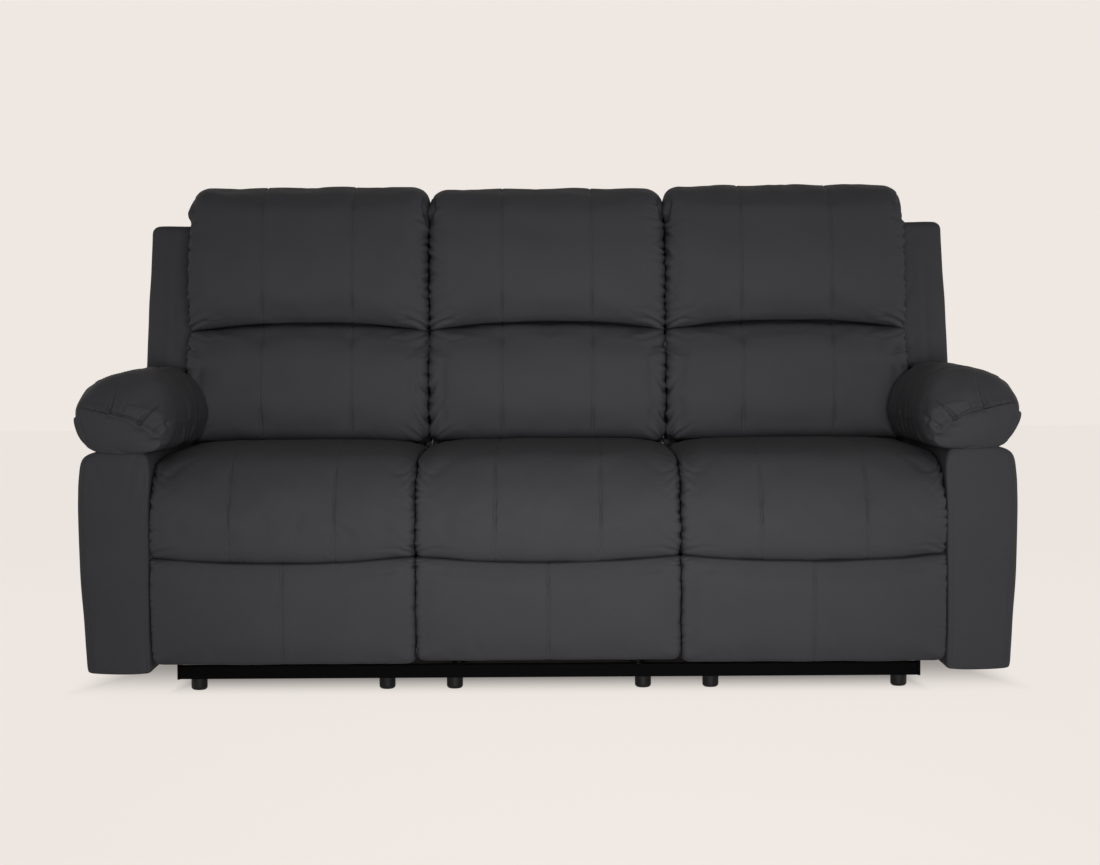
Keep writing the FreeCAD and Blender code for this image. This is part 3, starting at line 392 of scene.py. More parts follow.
def lobe(name, places, section, axis=0, cap_rows=5, turn=0, bulge=0.0):
    """A closed body through sections: section(place) gives the knots of one, and rows fill both ends."""
    rings = np.array([closed_curve(section(p)) for p in places])
    count, size = rings.shape[:2]
    co = np.zeros((count, size, 3))
    others = [k for k in range(3) if k != axis]
    co[:, :, axis] = np.array(places)[:, None]
    co[:, :, others[0]] = rings[:, :, 0]
    co[:, :, others[1]] = rings[:, :, 1]
    points = [co.reshape(-1, 3)]
    faces = []
    for i in range(count - 1):
        for k in range(size):
            k2 = (k + 1) % size
            faces.append((i * size + k, i * size + k2, (i + 1) * size + k2, (i + 1) * size + k))
    base = count * size
    half = size // 2
    for end, way in ((0, -1), (count - 1, 1)):
        ring = [(turn + k) % size for k in range(size)]
        index = []
        extra = []
        for i in range(half + 1):
            a = end * size + ring[i]
            b = end * size + ring[(size - i) % size]
            if i in (0, half):
                index.append([a] * (cap_rows + 2))
                continue
            inner = []
            for j in range(cap_rows):
                t = (j + 1) / (cap_rows + 1)
                p = co[end, ring[i]] * (1 - t) + co[end, ring[size - i]] * t
                p[axis] += way * bulge * (4 * t * (1 - t)) ** 0.6 * math.sin(math.pi * i / half) ** 0.6
                inner.append(base + len(extra))
                extra.append(p)
            index.append([a] + inner + [b])
        for i in range(half):
            for j in range(cap_rows + 1):
                face = (index[i][j], index[i + 1][j], index[i + 1][j + 1], index[i][j + 1])
                face = tuple(dict.fromkeys(face))
                if len(face) > 2:
                    faces.append(face)
        points.append(np.array(extra))
        base += len(extra)
    co = np.concatenate(points)
    mesh = bpy.data.meshes.new(name)
    mesh.from_pydata(co.tolist(), [], faces)
    tidy_faces(mesh)
    obj = bpy.data.objects.new(name, mesh)
    bpy.context.scene.collection.objects.link(obj)
    GRIDS[name] = (count, size)
    ACROSS[name] = np.array(places)
    return obj


def tidy_faces(mesh):
    """Turns every face of a closed mesh outwards and shades it smooth."""
    work = bmesh.new()
    work.from_mesh(mesh)
    bmesh.ops.recalc_face_normals(work, faces=work.faces)
    work.to_mesh(mesh)
    work.free()
    mesh.polygons.foreach_set("use_smooth", [True] * len(mesh.polygons))


def places_of(obj):
    """A mesh's points as an array."""
    co = np.zeros(len(obj.data.vertices) * 3)
    obj.data.vertices.foreach_get("co", co)
    return co.reshape(-1, 3)


def normals_of(obj):
    """A mesh's point normals as an array."""
    normals = np.zeros(len(obj.data.vertices) * 3)
    obj.data.vertex_normals.foreach_get("vector", normals)
    return normals.reshape(-1, 3)


def put(obj, co):
    """Gives a mesh new places for its points."""
    obj.data.vertices.foreach_set("co", co.ravel())
    obj.data.update()


def held(obj, first, last, middle, half, fade):
    """How firmly each point of a cushion is held: wholly at its ends, and outside rows first to last."""
    count, size = GRIDS[obj.name]
    free = np.zeros(size)
    free[first:last] = 1.0
    inside = np.clip((half - np.abs(ACROSS[obj.name] - middle)) / fade, 0, 1)
    hold = np.ones(len(obj.data.vertices))
    hold[: count * size] = (1 - free[None, :] * inside[:, None]).ravel()
    return hold


def plump(obj, kind, hold, growth, limit):
    """Fills a cushion: cloth under pressure, held where hold is 1, that never moves beyond a limit."""
    start = places_of(obj)
    if kind not in SWELLS:
        scene = bpy.context.scene
        group = obj.vertex_groups.new(name="hold")
        for level in np.unique(np.round(hold, 2)):
            if level > 0:
                chosen = np.nonzero(np.round(hold, 2) == level)[0].tolist()
                group.add(chosen, float(level), "REPLACE")
        cloth = obj.modifiers.new("cloth", "CLOTH")
        facts = cloth.settings
        facts.quality = 4
        facts.mass = 0.3
        facts.tension_stiffness = 12
        facts.compression_stiffness = 12
        facts.shear_stiffness = 4
        facts.bending_stiffness = 0.35
        facts.use_pressure = True
        facts.uniform_pressure_force = scene.sofa_sizes.pressure
        facts.shrink_min = -growth
        facts.vertex_group_mass = "hold"
        facts.effector_weights.gravity = 0.0
        cloth.collision_settings.use_collision = False
        for step in range(1, CLOTH_STEPS + 1):
            scene.frame_set(step)
        shown = obj.evaluated_get(bpy.context.evaluated_depsgraph_get())
        co = np.zeros(len(shown.data.vertices) * 3)
        shown.data.vertices.foreach_get("co", co)
        obj.modifiers.remove(cloth)
        obj.vertex_groups.clear()
        scene.frame_set(1)
        move = co.reshape(-1, 3) - start
        far = np.linalg.norm(move, axis=1)
        soft = limit * np.tanh(far / limit) / np.maximum(far, 1e-9)
        SWELLS[kind] = move * soft[:, None]
    put(obj, start + SWELLS[kind])


def finer(obj):
    """Splits every face once, on the smooth surface."""
    split = obj.modifiers.new("split", "SUBSURF")
    split.levels = 1
    split.render_levels = 1
    mesh = bpy.data.meshes.new_from_object(obj.evaluated_get(bpy.context.evaluated_depsgraph_get()))
    obj.modifiers.remove(split)
    old = obj.data
    obj.data = mesh
    bpy.data.meshes.remove(old)
    mesh.name = obj.name
    mesh.polygons.foreach_set("use_smooth", [True] * len(mesh.polygons))


def press_seams(obj, axis, seams, depth, reach=0.0020, where=None):
    """Pulls the leather in along seams at set places across a piece."""
    co = places_of(obj)
    normal = normals_of(obj)
    share = np.ones(len(co)) if where is None else where(co, normal)
    move = np.zeros(len(co))
    for seam in seams:
        away = np.abs(co[:, axis] - seam)
        move -= depth * np.exp(-((away / reach) ** 2)) + 0.3 * depth * np.exp(-((away / 0.011) ** 2))
    put(obj, co + normal * (move * share)[:, None])


def waver(obj, ends, amount, reach, before=9.0):
    """Moves a cushion's ends out and bends them with height, so that neighbours meet on a wandering line."""
    co = places_of(obj)
    z = co[:, 2]
    for end, way, grow, seed in ends:
        share = np.clip(1 - np.abs(co[:, 0] - end) / reach, 0, 1) ** 2
        share *= np.clip((before - co[:, 1]) / 0.02, 0, 1)
        co[:, 0] += way * grow * share
        if seed:
            wave = np.sin(z * 69 + seed) + 0.7 * np.sin(z * 147 + 2.3 * seed)
            co[:, 0] += amount * share * wave / 1.7
    put(obj, co)


def puffs(obj, spots, plane, side):
    """Raises soft mounds, each at (a, b) with a radius and a height."""
    co = places_of(obj)
    normal = normals_of(obj)
    facing = np.clip((side[1] * normal[:, side[0]] + 0.1) / 0.5, 0, 1)
    move = np.zeros(len(co))
    for a, b, radius, height in spots:
        away = np.hypot(co[:, plane[0]] - a, co[:, plane[1]] - b)
        move += height * np.exp(-((away / radius) ** 2))
    put(obj, co + normal * (move * facing)[:, None])


def strokes(obj, paths, plane, side):
    """Creases pressed into a surface, each a path of (a, b) points with a width, a depth and its fade."""
    co = places_of(obj)
    normal = normals_of(obj)
    flat = co[:, plane]
    facing = np.clip((side[1] * normal[:, side[0]] + 0.35) / 0.6, 0, 1)
    move = np.zeros(len(co))
    for path, width, depth, fade in paths:
        path = np.array(path)
        lengths = np.linalg.norm(np.diff(path, axis=0), axis=1)
        total = lengths.sum()
        best = np.full(len(co), 9.0)
        along = np.zeros(len(co))
        sign = np.zeros(len(co))
        done = 0.0
        for a, b, length in zip(path, path[1:], lengths):
            way = (b - a) / length
            rel = flat - a
            t = np.clip(rel @ way, 0, length)
            off = rel - t[:, None] * way
            away = np.hypot(off[:, 0], off[:, 1])
            near = away < best
            best = np.where(near, away, best)
            along = np.where(near, (done + t) / total, along)
            sign = np.where(near, np.sign(way[0] * rel[:, 1] - way[1] * rel[:, 0]), sign)
            done += length
        if fade == "in":
            taper = (1 - along) ** 1.1
        elif fade == "both":
            taper = np.sin(np.pi * np.clip(along, 0, 1)) ** 0.6
        else:
            taper = np.ones(len(co))
        size = width * (0.55 + 0.45 * taper)
        valley = np.exp(-((best / (0.42 * size)) ** 2))
        ridge = np.exp(-(((best - size) / (0.55 * size)) ** 2)) * (0.6 + 0.4 * sign)
        move += depth * taper * (0.55 * ridge - valley)
    put(obj, co + normal * (move * facing)[:, None])


def ripples(obj, amount, scale, seed, side=None):
    """Slow uneven swells of the filling under the leather."""
    rng = np.random.default_rng(seed)
    co = places_of(obj)
    normal = normals_of(obj)
    move = np.zeros(len(co))
    for _ in range(14):
        way = rng.normal(size=3)
        way /= np.linalg.norm(way)
        wave = scale * rng.uniform(0.6, 1.8)
        move += np.sin(co @ way * 2 * math.pi / wave + rng.uniform(0, 6.28)) * wave / scale
    move *= amount / 4.0
    if side is not None:
        move *= np.clip((side[1] * normal[:, side[0]] + 0.2) / 0.5, 0, 1)
    put(obj, co + normal * move[:, None])


def seam_path(obj, row, first, last):
    """Points of one section of a piece, from first to last, as its finished mesh has them."""
    size = GRIDS[obj.name][1]
    co = places_of(obj)
    normal = normals_of(obj)
    chosen = [row * size + k % size for k in range(first, last)]
    return co[chosen] + normal[chosen] * 0.0002


def stitch_tree(name, thread, sizes):
    """Geometry nodes that lay stitches along curves."""
    tree = bpy.data.node_groups.new(name, "GeometryNodeTree")
    tree.is_modifier = True
    face = tree.interface
    face.new_socket("Seams", in_out="INPUT", socket_type="NodeSocketGeometry")
    for label, size in STITCH_INPUTS.items():
        socket = face.new_socket(label, in_out="INPUT", socket_type="NodeSocketFloat")
        socket.default_value = getattr(sizes, size)
    face.new_socket("Stitches", in_out="OUTPUT", socket_type="NodeSocketGeometry")
    start = node(tree, "NodeGroupInput")
    along = {"Curve": start.outputs["Seams"], "Length": start.outputs["Pitch"]}
    steps = node(tree, "GeometryNodeResampleCurve", along, mode="LENGTH")
    bead = node(tree, "GeometryNodeMeshIcoSphere", {"Radius": 0.5, "Subdivisions": 1})
    thick = start.outputs["Thickness"]
    across = node(tree, "ShaderNodeCombineXYZ", {"X": thick, "Y": thick, "Z": start.outputs["Length"]})
    tangent = node(tree, "GeometryNodeInputTangent")
    turned = node(tree, "FunctionNodeAlignRotationToVector", {"Vector": tangent.outputs[0]}, axis="Z")
    laid = {"Points": steps.outputs[0], "Instance": bead.outputs["Mesh"]}
    laid.update({"Rotation": turned.outputs[0], "Scale": across.outputs[0]})
    placed = node(tree, "GeometryNodeInstanceOnPoints", laid)
    real = node(tree, "GeometryNodeRealizeInstances", {"Geometry": placed.outputs[0]})
    dyed = node(tree, "GeometryNodeSetMaterial", {"Geometry": real.outputs[0], "Material": thread})
    end = node(tree, "NodeGroupOutput")
    tree.links.new(dyed.outputs[0], end.inputs[0])
    return tree


def stitch(name, paths, body):
    """Stitches along paths, as one mesh that rides on a body."""
    sizes = bpy.context.scene.sofa_sizes
    curve = bpy.data.curves.new(name, "CURVE")
    curve.dimensions = "3D"
    for path in paths:
        spline = curve.splines.new("POLY")
        spline.points.add(len(path) - 1)
        flat = np.ones((len(path), 4))
        flat[:, :3] = path
        spline.points.foreach_set("co", flat.ravel())
    line = bpy.data.objects.new(name + "_line", curve)
    bpy.context.scene.collection.objects.link(line)
    thread = bpy.data.materials[THREAD]
    tree = bpy.data.node_groups.get("stitches") or stitch_tree("stitches", thread, sizes)
    modifier = line.modifiers.new("stitches", "NODES")
    modifier.node_group = tree
    for item in tree.interface.items_tree:
        if item.item_type == "SOCKET" and item.name in STITCH_INPUTS:
            modifier[item.identifier] = getattr(sizes, STITCH_INPUTS[item.name])
    mesh = bpy.data.meshes.new_from_object(line.evaluated_get(bpy.context.evaluated_depsgraph_get()))
    bpy.data.objects.remove(line)
    if not mesh.materials:
        mesh.materials.append(thread)
    mesh.polygons.foreach_set("use_smooth", [True] * len(mesh.polygons))
    obj = bpy.data.objects.new(name, mesh)
    bpy.context.scene.collection.objects.link(obj)
    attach(obj, body)


def dress(obj, body, slot, nodes):
    """Gives a piece the leather of its slot, puts it on its body, and hides the CAD nodes that it stands for.
    """
    obj.data.materials.clear()
    obj.data.materials.append(bpy.data.materials[FINISHES[slot]])
    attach(obj, body)
    if nodes:
        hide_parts(*nodes)


def nearest(obj, place):
    """The section of a piece that lies nearest to a place across it."""
    return int(np.argmin(np.abs(ACROSS[obj.name] - place)))


def stitch_rows(obj, seams, row, first, last):
    """A line of stitches on each side of every seam, from first to last point of the section there."""
    return [seam_path(obj, nearest(obj, seam + way * row), first, last) for seam in seams for way in (-1, 1)]


def centre_of(seat):
    """The middle of a seat, from left to right."""
    low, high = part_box("seat_cushion_" + seat)
    return (low.x + high.x) / 2


def edge_strokes(rng, x, way, low, high, count, reach, depth, width=0.009, slope=0.5):
    """Short gathers that run in from a side seam."""
    paths = []
    for k in range(count):
        z = low + (high - low) * (k + rng.uniform(0.1, 0.9)) / count
        length = reach * rng.uniform(0.5, 1.2)
        fall = rng.uniform(-slope, slope) * length
        bend = rng.uniform(-0.15, 0.15) * length
        path = [(x, z), (x + way * length * 0.5, z + fall * 0.5 + bend), (x + way * length, z + fall)]
        paths.append((path, width * rng.uniform(0.7, 1.2), depth * rng.uniform(0.5, 1.2), "in"))
    return paths


def gathers(x, way, folds):
    """The folds of a table, run in from the side seam at x."""
    return [([(x - way * inset, z) for inset, z in path], wide, deep, "in") for path, wide, deep in folds]


class SOFA_OT_finishes(bpy.types.Operator):
    """Make the materials and give them to the parts of the frame that stay as they are"""

    bl_idname = "sofa.finishes"
    bl_label = "Finishes"

    def execute(self, context):
        tones = context.scene.sofa_colours
        bonded_leather(FINISHES["padded_leather"], tones.leather)
        waxed_thread(THREAD, tones.thread)
        powder_steel(FINISHES["black_steel"], tones.steel)
        zinc_plate(FINISHES["zinc_steel"], tones.zinc)
        birch_ply(FINISHES["plywood"], tones.plywood)
        moulded_plastic(FINISHES["black_plastic"], tones.plastic)
        elastic_webbing(FINISHES["webbing"], tones.webbing)
        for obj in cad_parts.values():
            for i, material in enumerate(obj.data.materials):
                slot = material.name.split(".")[0]
                obj.data.materials[i] = bpy.data.materials[FINISHES[slot]]
        return {"FINISHED"}


class SOFA_OT_stage(bpy.types.Operator):
    """Make the floor, the wall, the lamps and the camera"""

    bl_idname = "sofa.stage"
    bl_label = "Stage"

    def execute(self, context):
        scene = context.scene
        tone = colour(scene.sofa_colours.room)
        camera = bpy.data.cameras.new("camera")
        camera.lens = LENS
        camera.sensor_width = FILM
        eye = bpy.data.objects.new("camera", camera)
        eye.location = EYE
        eye.rotation_euler = (math.radians(90 - TILT), math.radians(ROLL), 0.0)
        scene.collection.objects.link(eye)
        scene.camera = eye
        mesh = bpy.data.meshes.new("floor")
        mesh.from_pydata([(-14, -14, 0), (14, -14, 0), (14, 14, 0), (-14, 14, 0)], [], [(0, 1, 2, 3)])
        floor = bpy.data.objects.new("floor", mesh)
        mesh.materials.append(floor_finish(tone))
        scene.collection.objects.link(floor)
        world = bpy.data.worlds.new("room")
        scene.world = world
        world.use_nodes = True
        tree = world.node_tree
        tree.nodes.clear()
        light = node(tree, "ShaderNodeBackground", {"Color": (1, 1, 1, 1), "Strength": ROOM_LIGHT})
        shown = node(tree, "ShaderNodeBackground", {"Color": tone, "Strength": 1.0})
        seen = {0: seen_rays(tree).outputs[0], 1: light.outputs[0], 2: shown.outputs[0]}
        sky = node(tree, "ShaderNodeMixShader", seen)
        node(tree, "ShaderNodeOutputWorld", {0: sky.outputs[0]})
        for label, (place, aim, wide, high, power, spread) in LAMPS.items():
            lamp = bpy.data.lights.new(label, "AREA")
            lamp.shape = "RECTANGLE"
            lamp.size = wide
            lamp.size_y = high
            lamp.energy = power
            lamp.spread = math.radians(spread)
            obj = bpy.data.objects.new(label, lamp)
            obj.location = place
            way = Vector(aim) - Vector(place)
            obj.rotation_euler = way.to_track_quat("-Z", "Y").to_euler()
            scene.collection.objects.link(obj)
        scene.view_settings.view_transform = "Standard"
        return {"FINISHED"}


def seen_rays(tree):
    """The rays that show the room's own tone: those of the camera, and those off metal and through glass."""
    ray = node(tree, "ShaderNodeLightPath")
    add = {0: ray.outputs["Is Camera Ray"], 1: ray.outputs["Is Glossy Ray"]}
    sees = node(tree, "ShaderNodeMath", add, operation="ADD")
    add = {0: sees.outputs[0], 1: ray.outputs["Is Transmission Ray"]}
    return node(tree, "ShaderNodeMath", add, operation="ADD", use_clamp=True)


def floor_finish(tone):
    """A matt painted floor that shows its own colour, with a painted shadow that darkens it softly under the
    sofa.
    """
    material = bpy.data.materials.new("matt painted floor")
    material.use_nodes = True
    tree = material.node_tree
    tree.nodes.clear()
    sees = seen_rays(tree)
    paint = [c * FLOOR_SHARE for c in tone[:3]] + [1]
    matt = node(tree, "ShaderNodeBsdfDiffuse", {"Color": paint})
    place = node(tree, "ShaderNodeSeparateXYZ", {0: node(tree, "ShaderNodeTexCoord").outputs["Object"]})
    side = node(tree, "ShaderNodeMath", {0: place.outputs["X"]}, operation="ABSOLUTE")
    painted_shadows = []
    # a painted shadow that dims the floor's glow by place, from the dark inside to the light outside: below
    # the seats, below the arms, at the front, at the rear
    for value, inside, outside in (
        (side.outputs[0], 0.72, 0.80),
        (side.outputs[0], 0.86, 1.02),
        (place.outputs["Y"], 0.12, -0.36),
        (place.outputs["Y"], 0.26, 0.48),
    ):
        limits = {"Value": value, "From Min": inside, "From Max": outside}
        painted_shadows.append(node(tree, "ShaderNodeMapRange", limits, interpolation_type="SMOOTHSTEP").outputs[0])
    ends = node(tree, "ShaderNodeMath", {0: painted_shadows[2], 1: painted_shadows[3]}, operation="MAXIMUM").outputs[0]
    core = node(tree, "ShaderNodeMath", {0: painted_shadows[0], 1: ends}, operation="MAXIMUM").outputs[0]
    wide = node(tree, "ShaderNodeMath", {0: painted_shadows[1], 1: ends}, operation="MAXIMUM").outputs[0]
    soft = node(tree, "ShaderNodeMapRange", {"Value": wide, "To Min": 0.35, "To Max": 0.95}).outputs[0]
    # the painted shadow sets the strength of the floor's glow, so the dark under the sofa is painted, not
    # cast by the lamps
    power = node(tree, "ShaderNodeMath", {0: core, 1: soft}, operation="MULTIPLY")
    glow = node(tree, "ShaderNodeEmission", {"Color": tone, "Strength": power.outputs[0]})
    shown = node(tree, "ShaderNodeAddShader", {0: glow.outputs[0], 1: matt.outputs[0]})
    both = node(tree, "ShaderNodeMixShader", {0: sees.outputs[0], 1: matt.outputs[0], 2: shown.outputs[0]})
    node(tree, "ShaderNodeOutputMaterial", {0: both.outputs[0]})
    return material


class SOFA_OT_seats(bpy.types.Operator):
    """Make the three seat cushions, with their panel seams and stitches"""

    bl_idname = "sofa.seats"
    bl_label = "Seat cushions"

    def execute(self, context):
        for seed, seat in enumerate(SEATS):
            seat_cushion(seat, seed)
        return {"FINISHED"}


def seat_lip(u):
    """The height of a seat cushion's lower front edge, which sags towards its middle."""
    return LIP - LIP_SAG * (1 - u * u)


def inner_ends(low, high, grow, outer, seed):
    """The two ends of a cushion for waver: neighbours share a wave, and outer ends stay straight."""
    ends = []
    for end, way in ((low, -1), (high, 1)):
        inner = abs(end) < 0.5
        ends.append((end, way, grow if inner else outer, (seed if end < 0 else seed + 1.7) if inner else 0))
    return ends


def seat_cushion(seat, seed):
    """One seat cushion: crowned on top, rolled over its front, and sewn in three panels."""
    sizes = bpy.context.scene.sofa_sizes
    low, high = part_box("seat_cushion_" + seat)
    middle = centre_of(seat)
    half = (high.x - low.x) / 2
    front, rear = low.y + 0.003, high.y
    seams = (middle - sizes.panel_seam, middle + sizes.panel_seam)

    def section(x):
        u = (x - middle) / half
        draw = end_draw(half - abs(x - middle), 0.014) + 0.005 * abs(u) ** 4
        crown = 0.006 * (1 - abs(u) ** 2.5)
        t = SEAT_TOP - draw
        f = front + draw
        lip = seat_lip(u) + draw * 0.2
        return [
            (rear, 0.362, 5),
            (rear, t - 0.024, 2),
            (rear - 0.006, t - 0.007, 3),
            (rear - 0.024, t, 20),
            (-0.110, t + 0.001 + crown, 20),
            (-0.300, t - 0.003, 8),
            (-0.375, t - 0.020, 7),
            (f + 0.022, t - 0.062, 9),
            (f + 0.001, t - 0.115, 8),
            (f - 0.003, 0.345, 7),
            (f + 0.002, lip + 0.014, 3),
            (f + 0.013, lip, 4),
            (f + 0.044, lip + 0.003, 5),
            (f + 0.066, 0.362, 15),
        ]

    obj = lobe("seat_cushion_soft_" + seat, columns(low.x, high.x, seams), section, turn=77)
    plump(obj, "seat", held(obj, 10, 84, middle, half, 0.03), 0.012, sizes.swell * 0.6)
    finer(obj)
    press_seams(obj, 0, seams, sizes.seam_depth, where=lambda co, n: (co[:, 1] < 0.13) * 1.0)
    rng = random.Random(20 + seed)
    paths = []
    for way in (-1, 1):
        x = middle + way * half
        paths += edge_strokes(rng, x, -way, 0.31, 0.47, 7, 0.024, 0.0036, 0.008, 0.7)
        paths += gathers(x, way, SEAT_FOLDS)
    for seam in seams:
        for side in (-1, 1):
            paths.append(([(seam + side * 0.006, 0.30), (seam + side * 0.02, 0.325)], 0.009, 0.0010, "in"))
    strokes(obj, paths, [0, 2], (1, -1))
    ripples(obj, 0.0008, 0.075, 40 + seed, (1, -1))
    waver(obj, inner_ends(low.x, high.x, 0.0013, 0.0010, 1.0), 0.0014, 0.05, before=0.03)
    dress(obj, "seat_" + seat, "padded_leather", ["seat_cushion_" + seat])
    lines = stitch_rows(obj, seams, sizes.stitch_row, 12, 86)
    stitch("seat_stitches_" + seat, lines, "seat_" + seat)


class SOFA_OT_footrests(bpy.types.Operator):
    """Make the three padded footrest fronts"""

    bl_idname = "sofa.footrests"
    bl_label = "Footrest pads"

    def execute(self, context):
        for seed, seat in enumerate(SEATS):
            footrest(seat, seed)
        return {"FINISHED"}


def footrest(seat, seed):
    """One footrest front: a thin pad with one seam down its middle, tucked at its top corners."""
    sizes = bpy.context.scene.sofa_sizes
    low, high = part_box("footrest_pad_" + seat)
    middle = centre_of(seat)
    half = (high.x - low.x) / 2
    hang = 0.081 if seat == "centre" else 0.0755

    def section(x):
        u = (x - middle) / half
        draw = end_draw(half - abs(x - middle), 0.011) + 0.0025 * abs(u) ** 4
        top = seat_lip(u) - 0.0022 - draw * 0.25
        front = FOOT_FRONT + draw
        base = hang + end_draw(half - abs(x - middle), 0.020) * 0.6
        return [
            (FOOT_REAR, base + 0.004, 4),
            (front + 0.028, base, 4),
            (front + 0.012, base + 0.007, 5),
            (front + 0.006, base + 0.035, 8),
            (front, 0.180, 9),
            (front - 0.001, top - 0.040, 5),
            (front + 0.003, top - 0.010, 4),
            (front + 0.013, top - 0.001, 4),
            (FOOT_REAR, top - 0.003, 9),
        ]

    obj = lobe("footrest_soft_" + seat, columns(low.x, high.x, (middle,)), section, cap_rows=3)
    kind = "middle" if seat == "centre" else "outer"
    plump(obj, "footrest" + kind, held(obj, 8, 38, middle, half, 0.03), 0.006, 0.004)
    finer(obj)
    press_seams(obj, 0, (middle,), sizes.seam_depth, where=lambda co, n: (co[:, 1] < -0.41) * 1.0)
    rng = random.Random(60 + seed)
    paths = []
    for way in (-1, 1):
        x = middle + way * half
        paths += edge_strokes(rng, x, -way, 0.09, 0.26, 6, 0.024, 0.0020, 0.008)
        paths += gathers(x, way, FOOTREST_FOLDS)
    strokes(obj, paths, [0, 2], (1, -1))
    ripples(obj, 0.0006, 0.09, 70 + seed, (1, -1))
    waver(obj, inner_ends(low.x, high.x, 0.0027, 0.0020, 4.0), 0.0009, 0.05)
    dress(obj, "footrest_" + seat, "padded_leather", ["footrest_pad_" + seat])
    lines = stitch_rows(obj, (middle,), sizes.stitch_row * 0.7, 5, 44)
    stitch("footrest_stitches_" + seat, lines, "footrest_" + seat)


def frame_front(z):
    """Where the front of the back frame stands at a height."""
    return 0.250 + 0.18 * (z - 0.400)


class SOFA_OT_backs(bpy.types.Operator):
    """Make the head and lumbar lobes of the three backs"""

    bl_idname = "sofa.backs"
    bl_label = "Back cushions"

    def execute(self, context):
        for seed, seat in enumerate(SEATS):
            back_cushion(seat, seed)
        return {"FINISHED"}


def back_cushion(seat, seed):
    """One back: a head lobe that rolls over its top, a lumbar lobe under it, and the flap that tucks in."""
    sizes = bpy.context.scene.sofa_sizes
    low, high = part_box("back_cushion_" + seat)
    middle = (low.x + high.x) / 2
    half = (high.x - low.x) / 2
    kind = "middle" if seat == "centre" else "outer"
    crest = 1.081 if seat == "centre" else 1.087
    seams = (middle - BACK_SEAM, middle + BACK_SEAM)

    def valley(x):
        return VALLEY - 0.020 * abs((x - middle) / half) ** 2.4

    def head(x):
        u = (x - middle) / half
        inset = half - abs(x - middle)
        draw = end_draw(inset, 0.024) + 0.007 * u * u
        drop = end_draw(inset, 0.034) + 0.003 * u * u + 0.0012 * math.cos(11 * u + seed)
        top = crest - drop
        foot = valley(x) + 0.001
        return [
            (frame_front(foot) - 0.0004, foot, 6),
            (0.200 + draw * 0.4, foot, 3),
            (0.163 + draw * 0.8, foot + 0.002, 4),
            (0.150 + draw, foot + 0.015, 5),
            (0.142 + draw, foot + 0.062, 8),
            (0.146 + draw, 0.910 - drop * 0.3, 9),
            (0.168 + draw, 0.984 - drop * 0.6, 8),
            (0.196 + draw * 0.9, top - 0.035, 6),
            (0.226 + draw * 0.7, top - 0.011, 5),
            (0.275 + draw * 0.4, top, 6),
            (0.345, top - 0.009, 5),
            (0.388, top - 0.033 + drop * 0.5, 4),
            (0.402, 1.0186, 4),
            (0.361, 1.0186, 11),
        ]

    def lumbar(x):
        u = (x - middle) / half
        inset = half - abs(x - middle)
        draw = end_draw(inset, 0.022) + 0.006 * u * u
        outward = u * (middle > 0.1) - u * (middle < -0.1) > 0
        base = 0.5035 + draw * (0.62 if outward else 0.12)
        top = valley(x) - 0.001
        return [
            (frame_front(0.509) - 0.001, 0.509, 5),
            (0.160 + draw, base, 3),
            (0.130 + draw, base + 0.007, 5),
            (0.106 + draw, 0.560, 6),
            (0.100 + draw, 0.630, 7),
            (0.112 + draw, 0.694, 7),
            (0.134 + draw, top - 0.036, 5),
            (0.149 + draw * 0.9, top - 0.011, 4),
            (0.166 + draw * 0.8, top - 0.001, 4),
            (0.205 + draw * 0.4, top, 6),
            (frame_front(top) - 0.0004, top, 12),
        ]

    made = []
    for label, section, span in (("head", head, (9, 61)), ("lumbar", lumbar, (7, 46))):
        obj = lobe(label + "_soft_" + seat, columns(low.x, high.x, seams), section, cap_rows=7)
        plump(obj, label + kind, held(obj, *span, middle, half, 0.04), 0.015, sizes.swell * 0.5)
        finer(obj)
        press_seams(obj, 0, seams, sizes.seam_depth, where=lambda co, n: (n[:, 1] < 0.6) * 1.0)
        made.append(obj)
    top_piece, low_piece = made
    rng = random.Random(80 + seed)
    paths = []
    for way in (-1, 1):
        x = middle + way * half
        paths += edge_strokes(rng, x, -way, 0.79, 1.00, 9, 0.038, 0.0052, 0.009, 0.8)
        # gathers that fan out around the upper corner
        for k in range(6):
            angle = math.radians(10 + 17 * k + rng.uniform(-5, 5))
            reach = rng.uniform(0.030, 0.055)
            a = (x - way * 0.0015 * k, 1.000 + 0.007 * k)
            b = (a[0] - way * reach * math.cos(angle), a[1] + reach * math.sin(angle) * 0.7)
            mid = ((a[0] + b[0]) / 2 - way * 0.004, (a[1] + b[1]) / 2 + 0.006)
            paths.append(([a, mid, b], 0.010, 0.0062, "in"))
        paths += gathers(x, way, HEAD_FOLDS)
    strokes(top_piece, paths, [0, 2], (1, -1))
    paths = []
    for way in (-1, 1):
        x = middle + way * half
        paths += edge_strokes(rng, x, -way, 0.55, 0.74, 7, 0.030, 0.0044, 0.009, 0.8)
        paths += gathers(x, way, LUMBAR_FOLDS)
    strokes(low_piece, paths, [0, 2], (1, -1))
    lines = []
    for obj, span in ((top_piece, (13, 60)), (low_piece, (9, 44))):
        ripples(obj, 0.0011, 0.085, 90 + seed, (1, -1))
        waver(obj, inner_ends(low.x, high.x, 0.0023, 0.0, 2.5), 0.0012, 0.06)
        lines += stitch_rows(obj, seams, sizes.stitch_row, *span)
    tail = tail_of("tail_soft_" + seat, centre_of(seat))
    for obj in (top_piece, low_piece, tail):
        dress(obj, "back_" + seat, "padded_leather", ["back_cushion_" + seat])
    stitch("back_stitches_" + seat, lines, "back_" + seat)


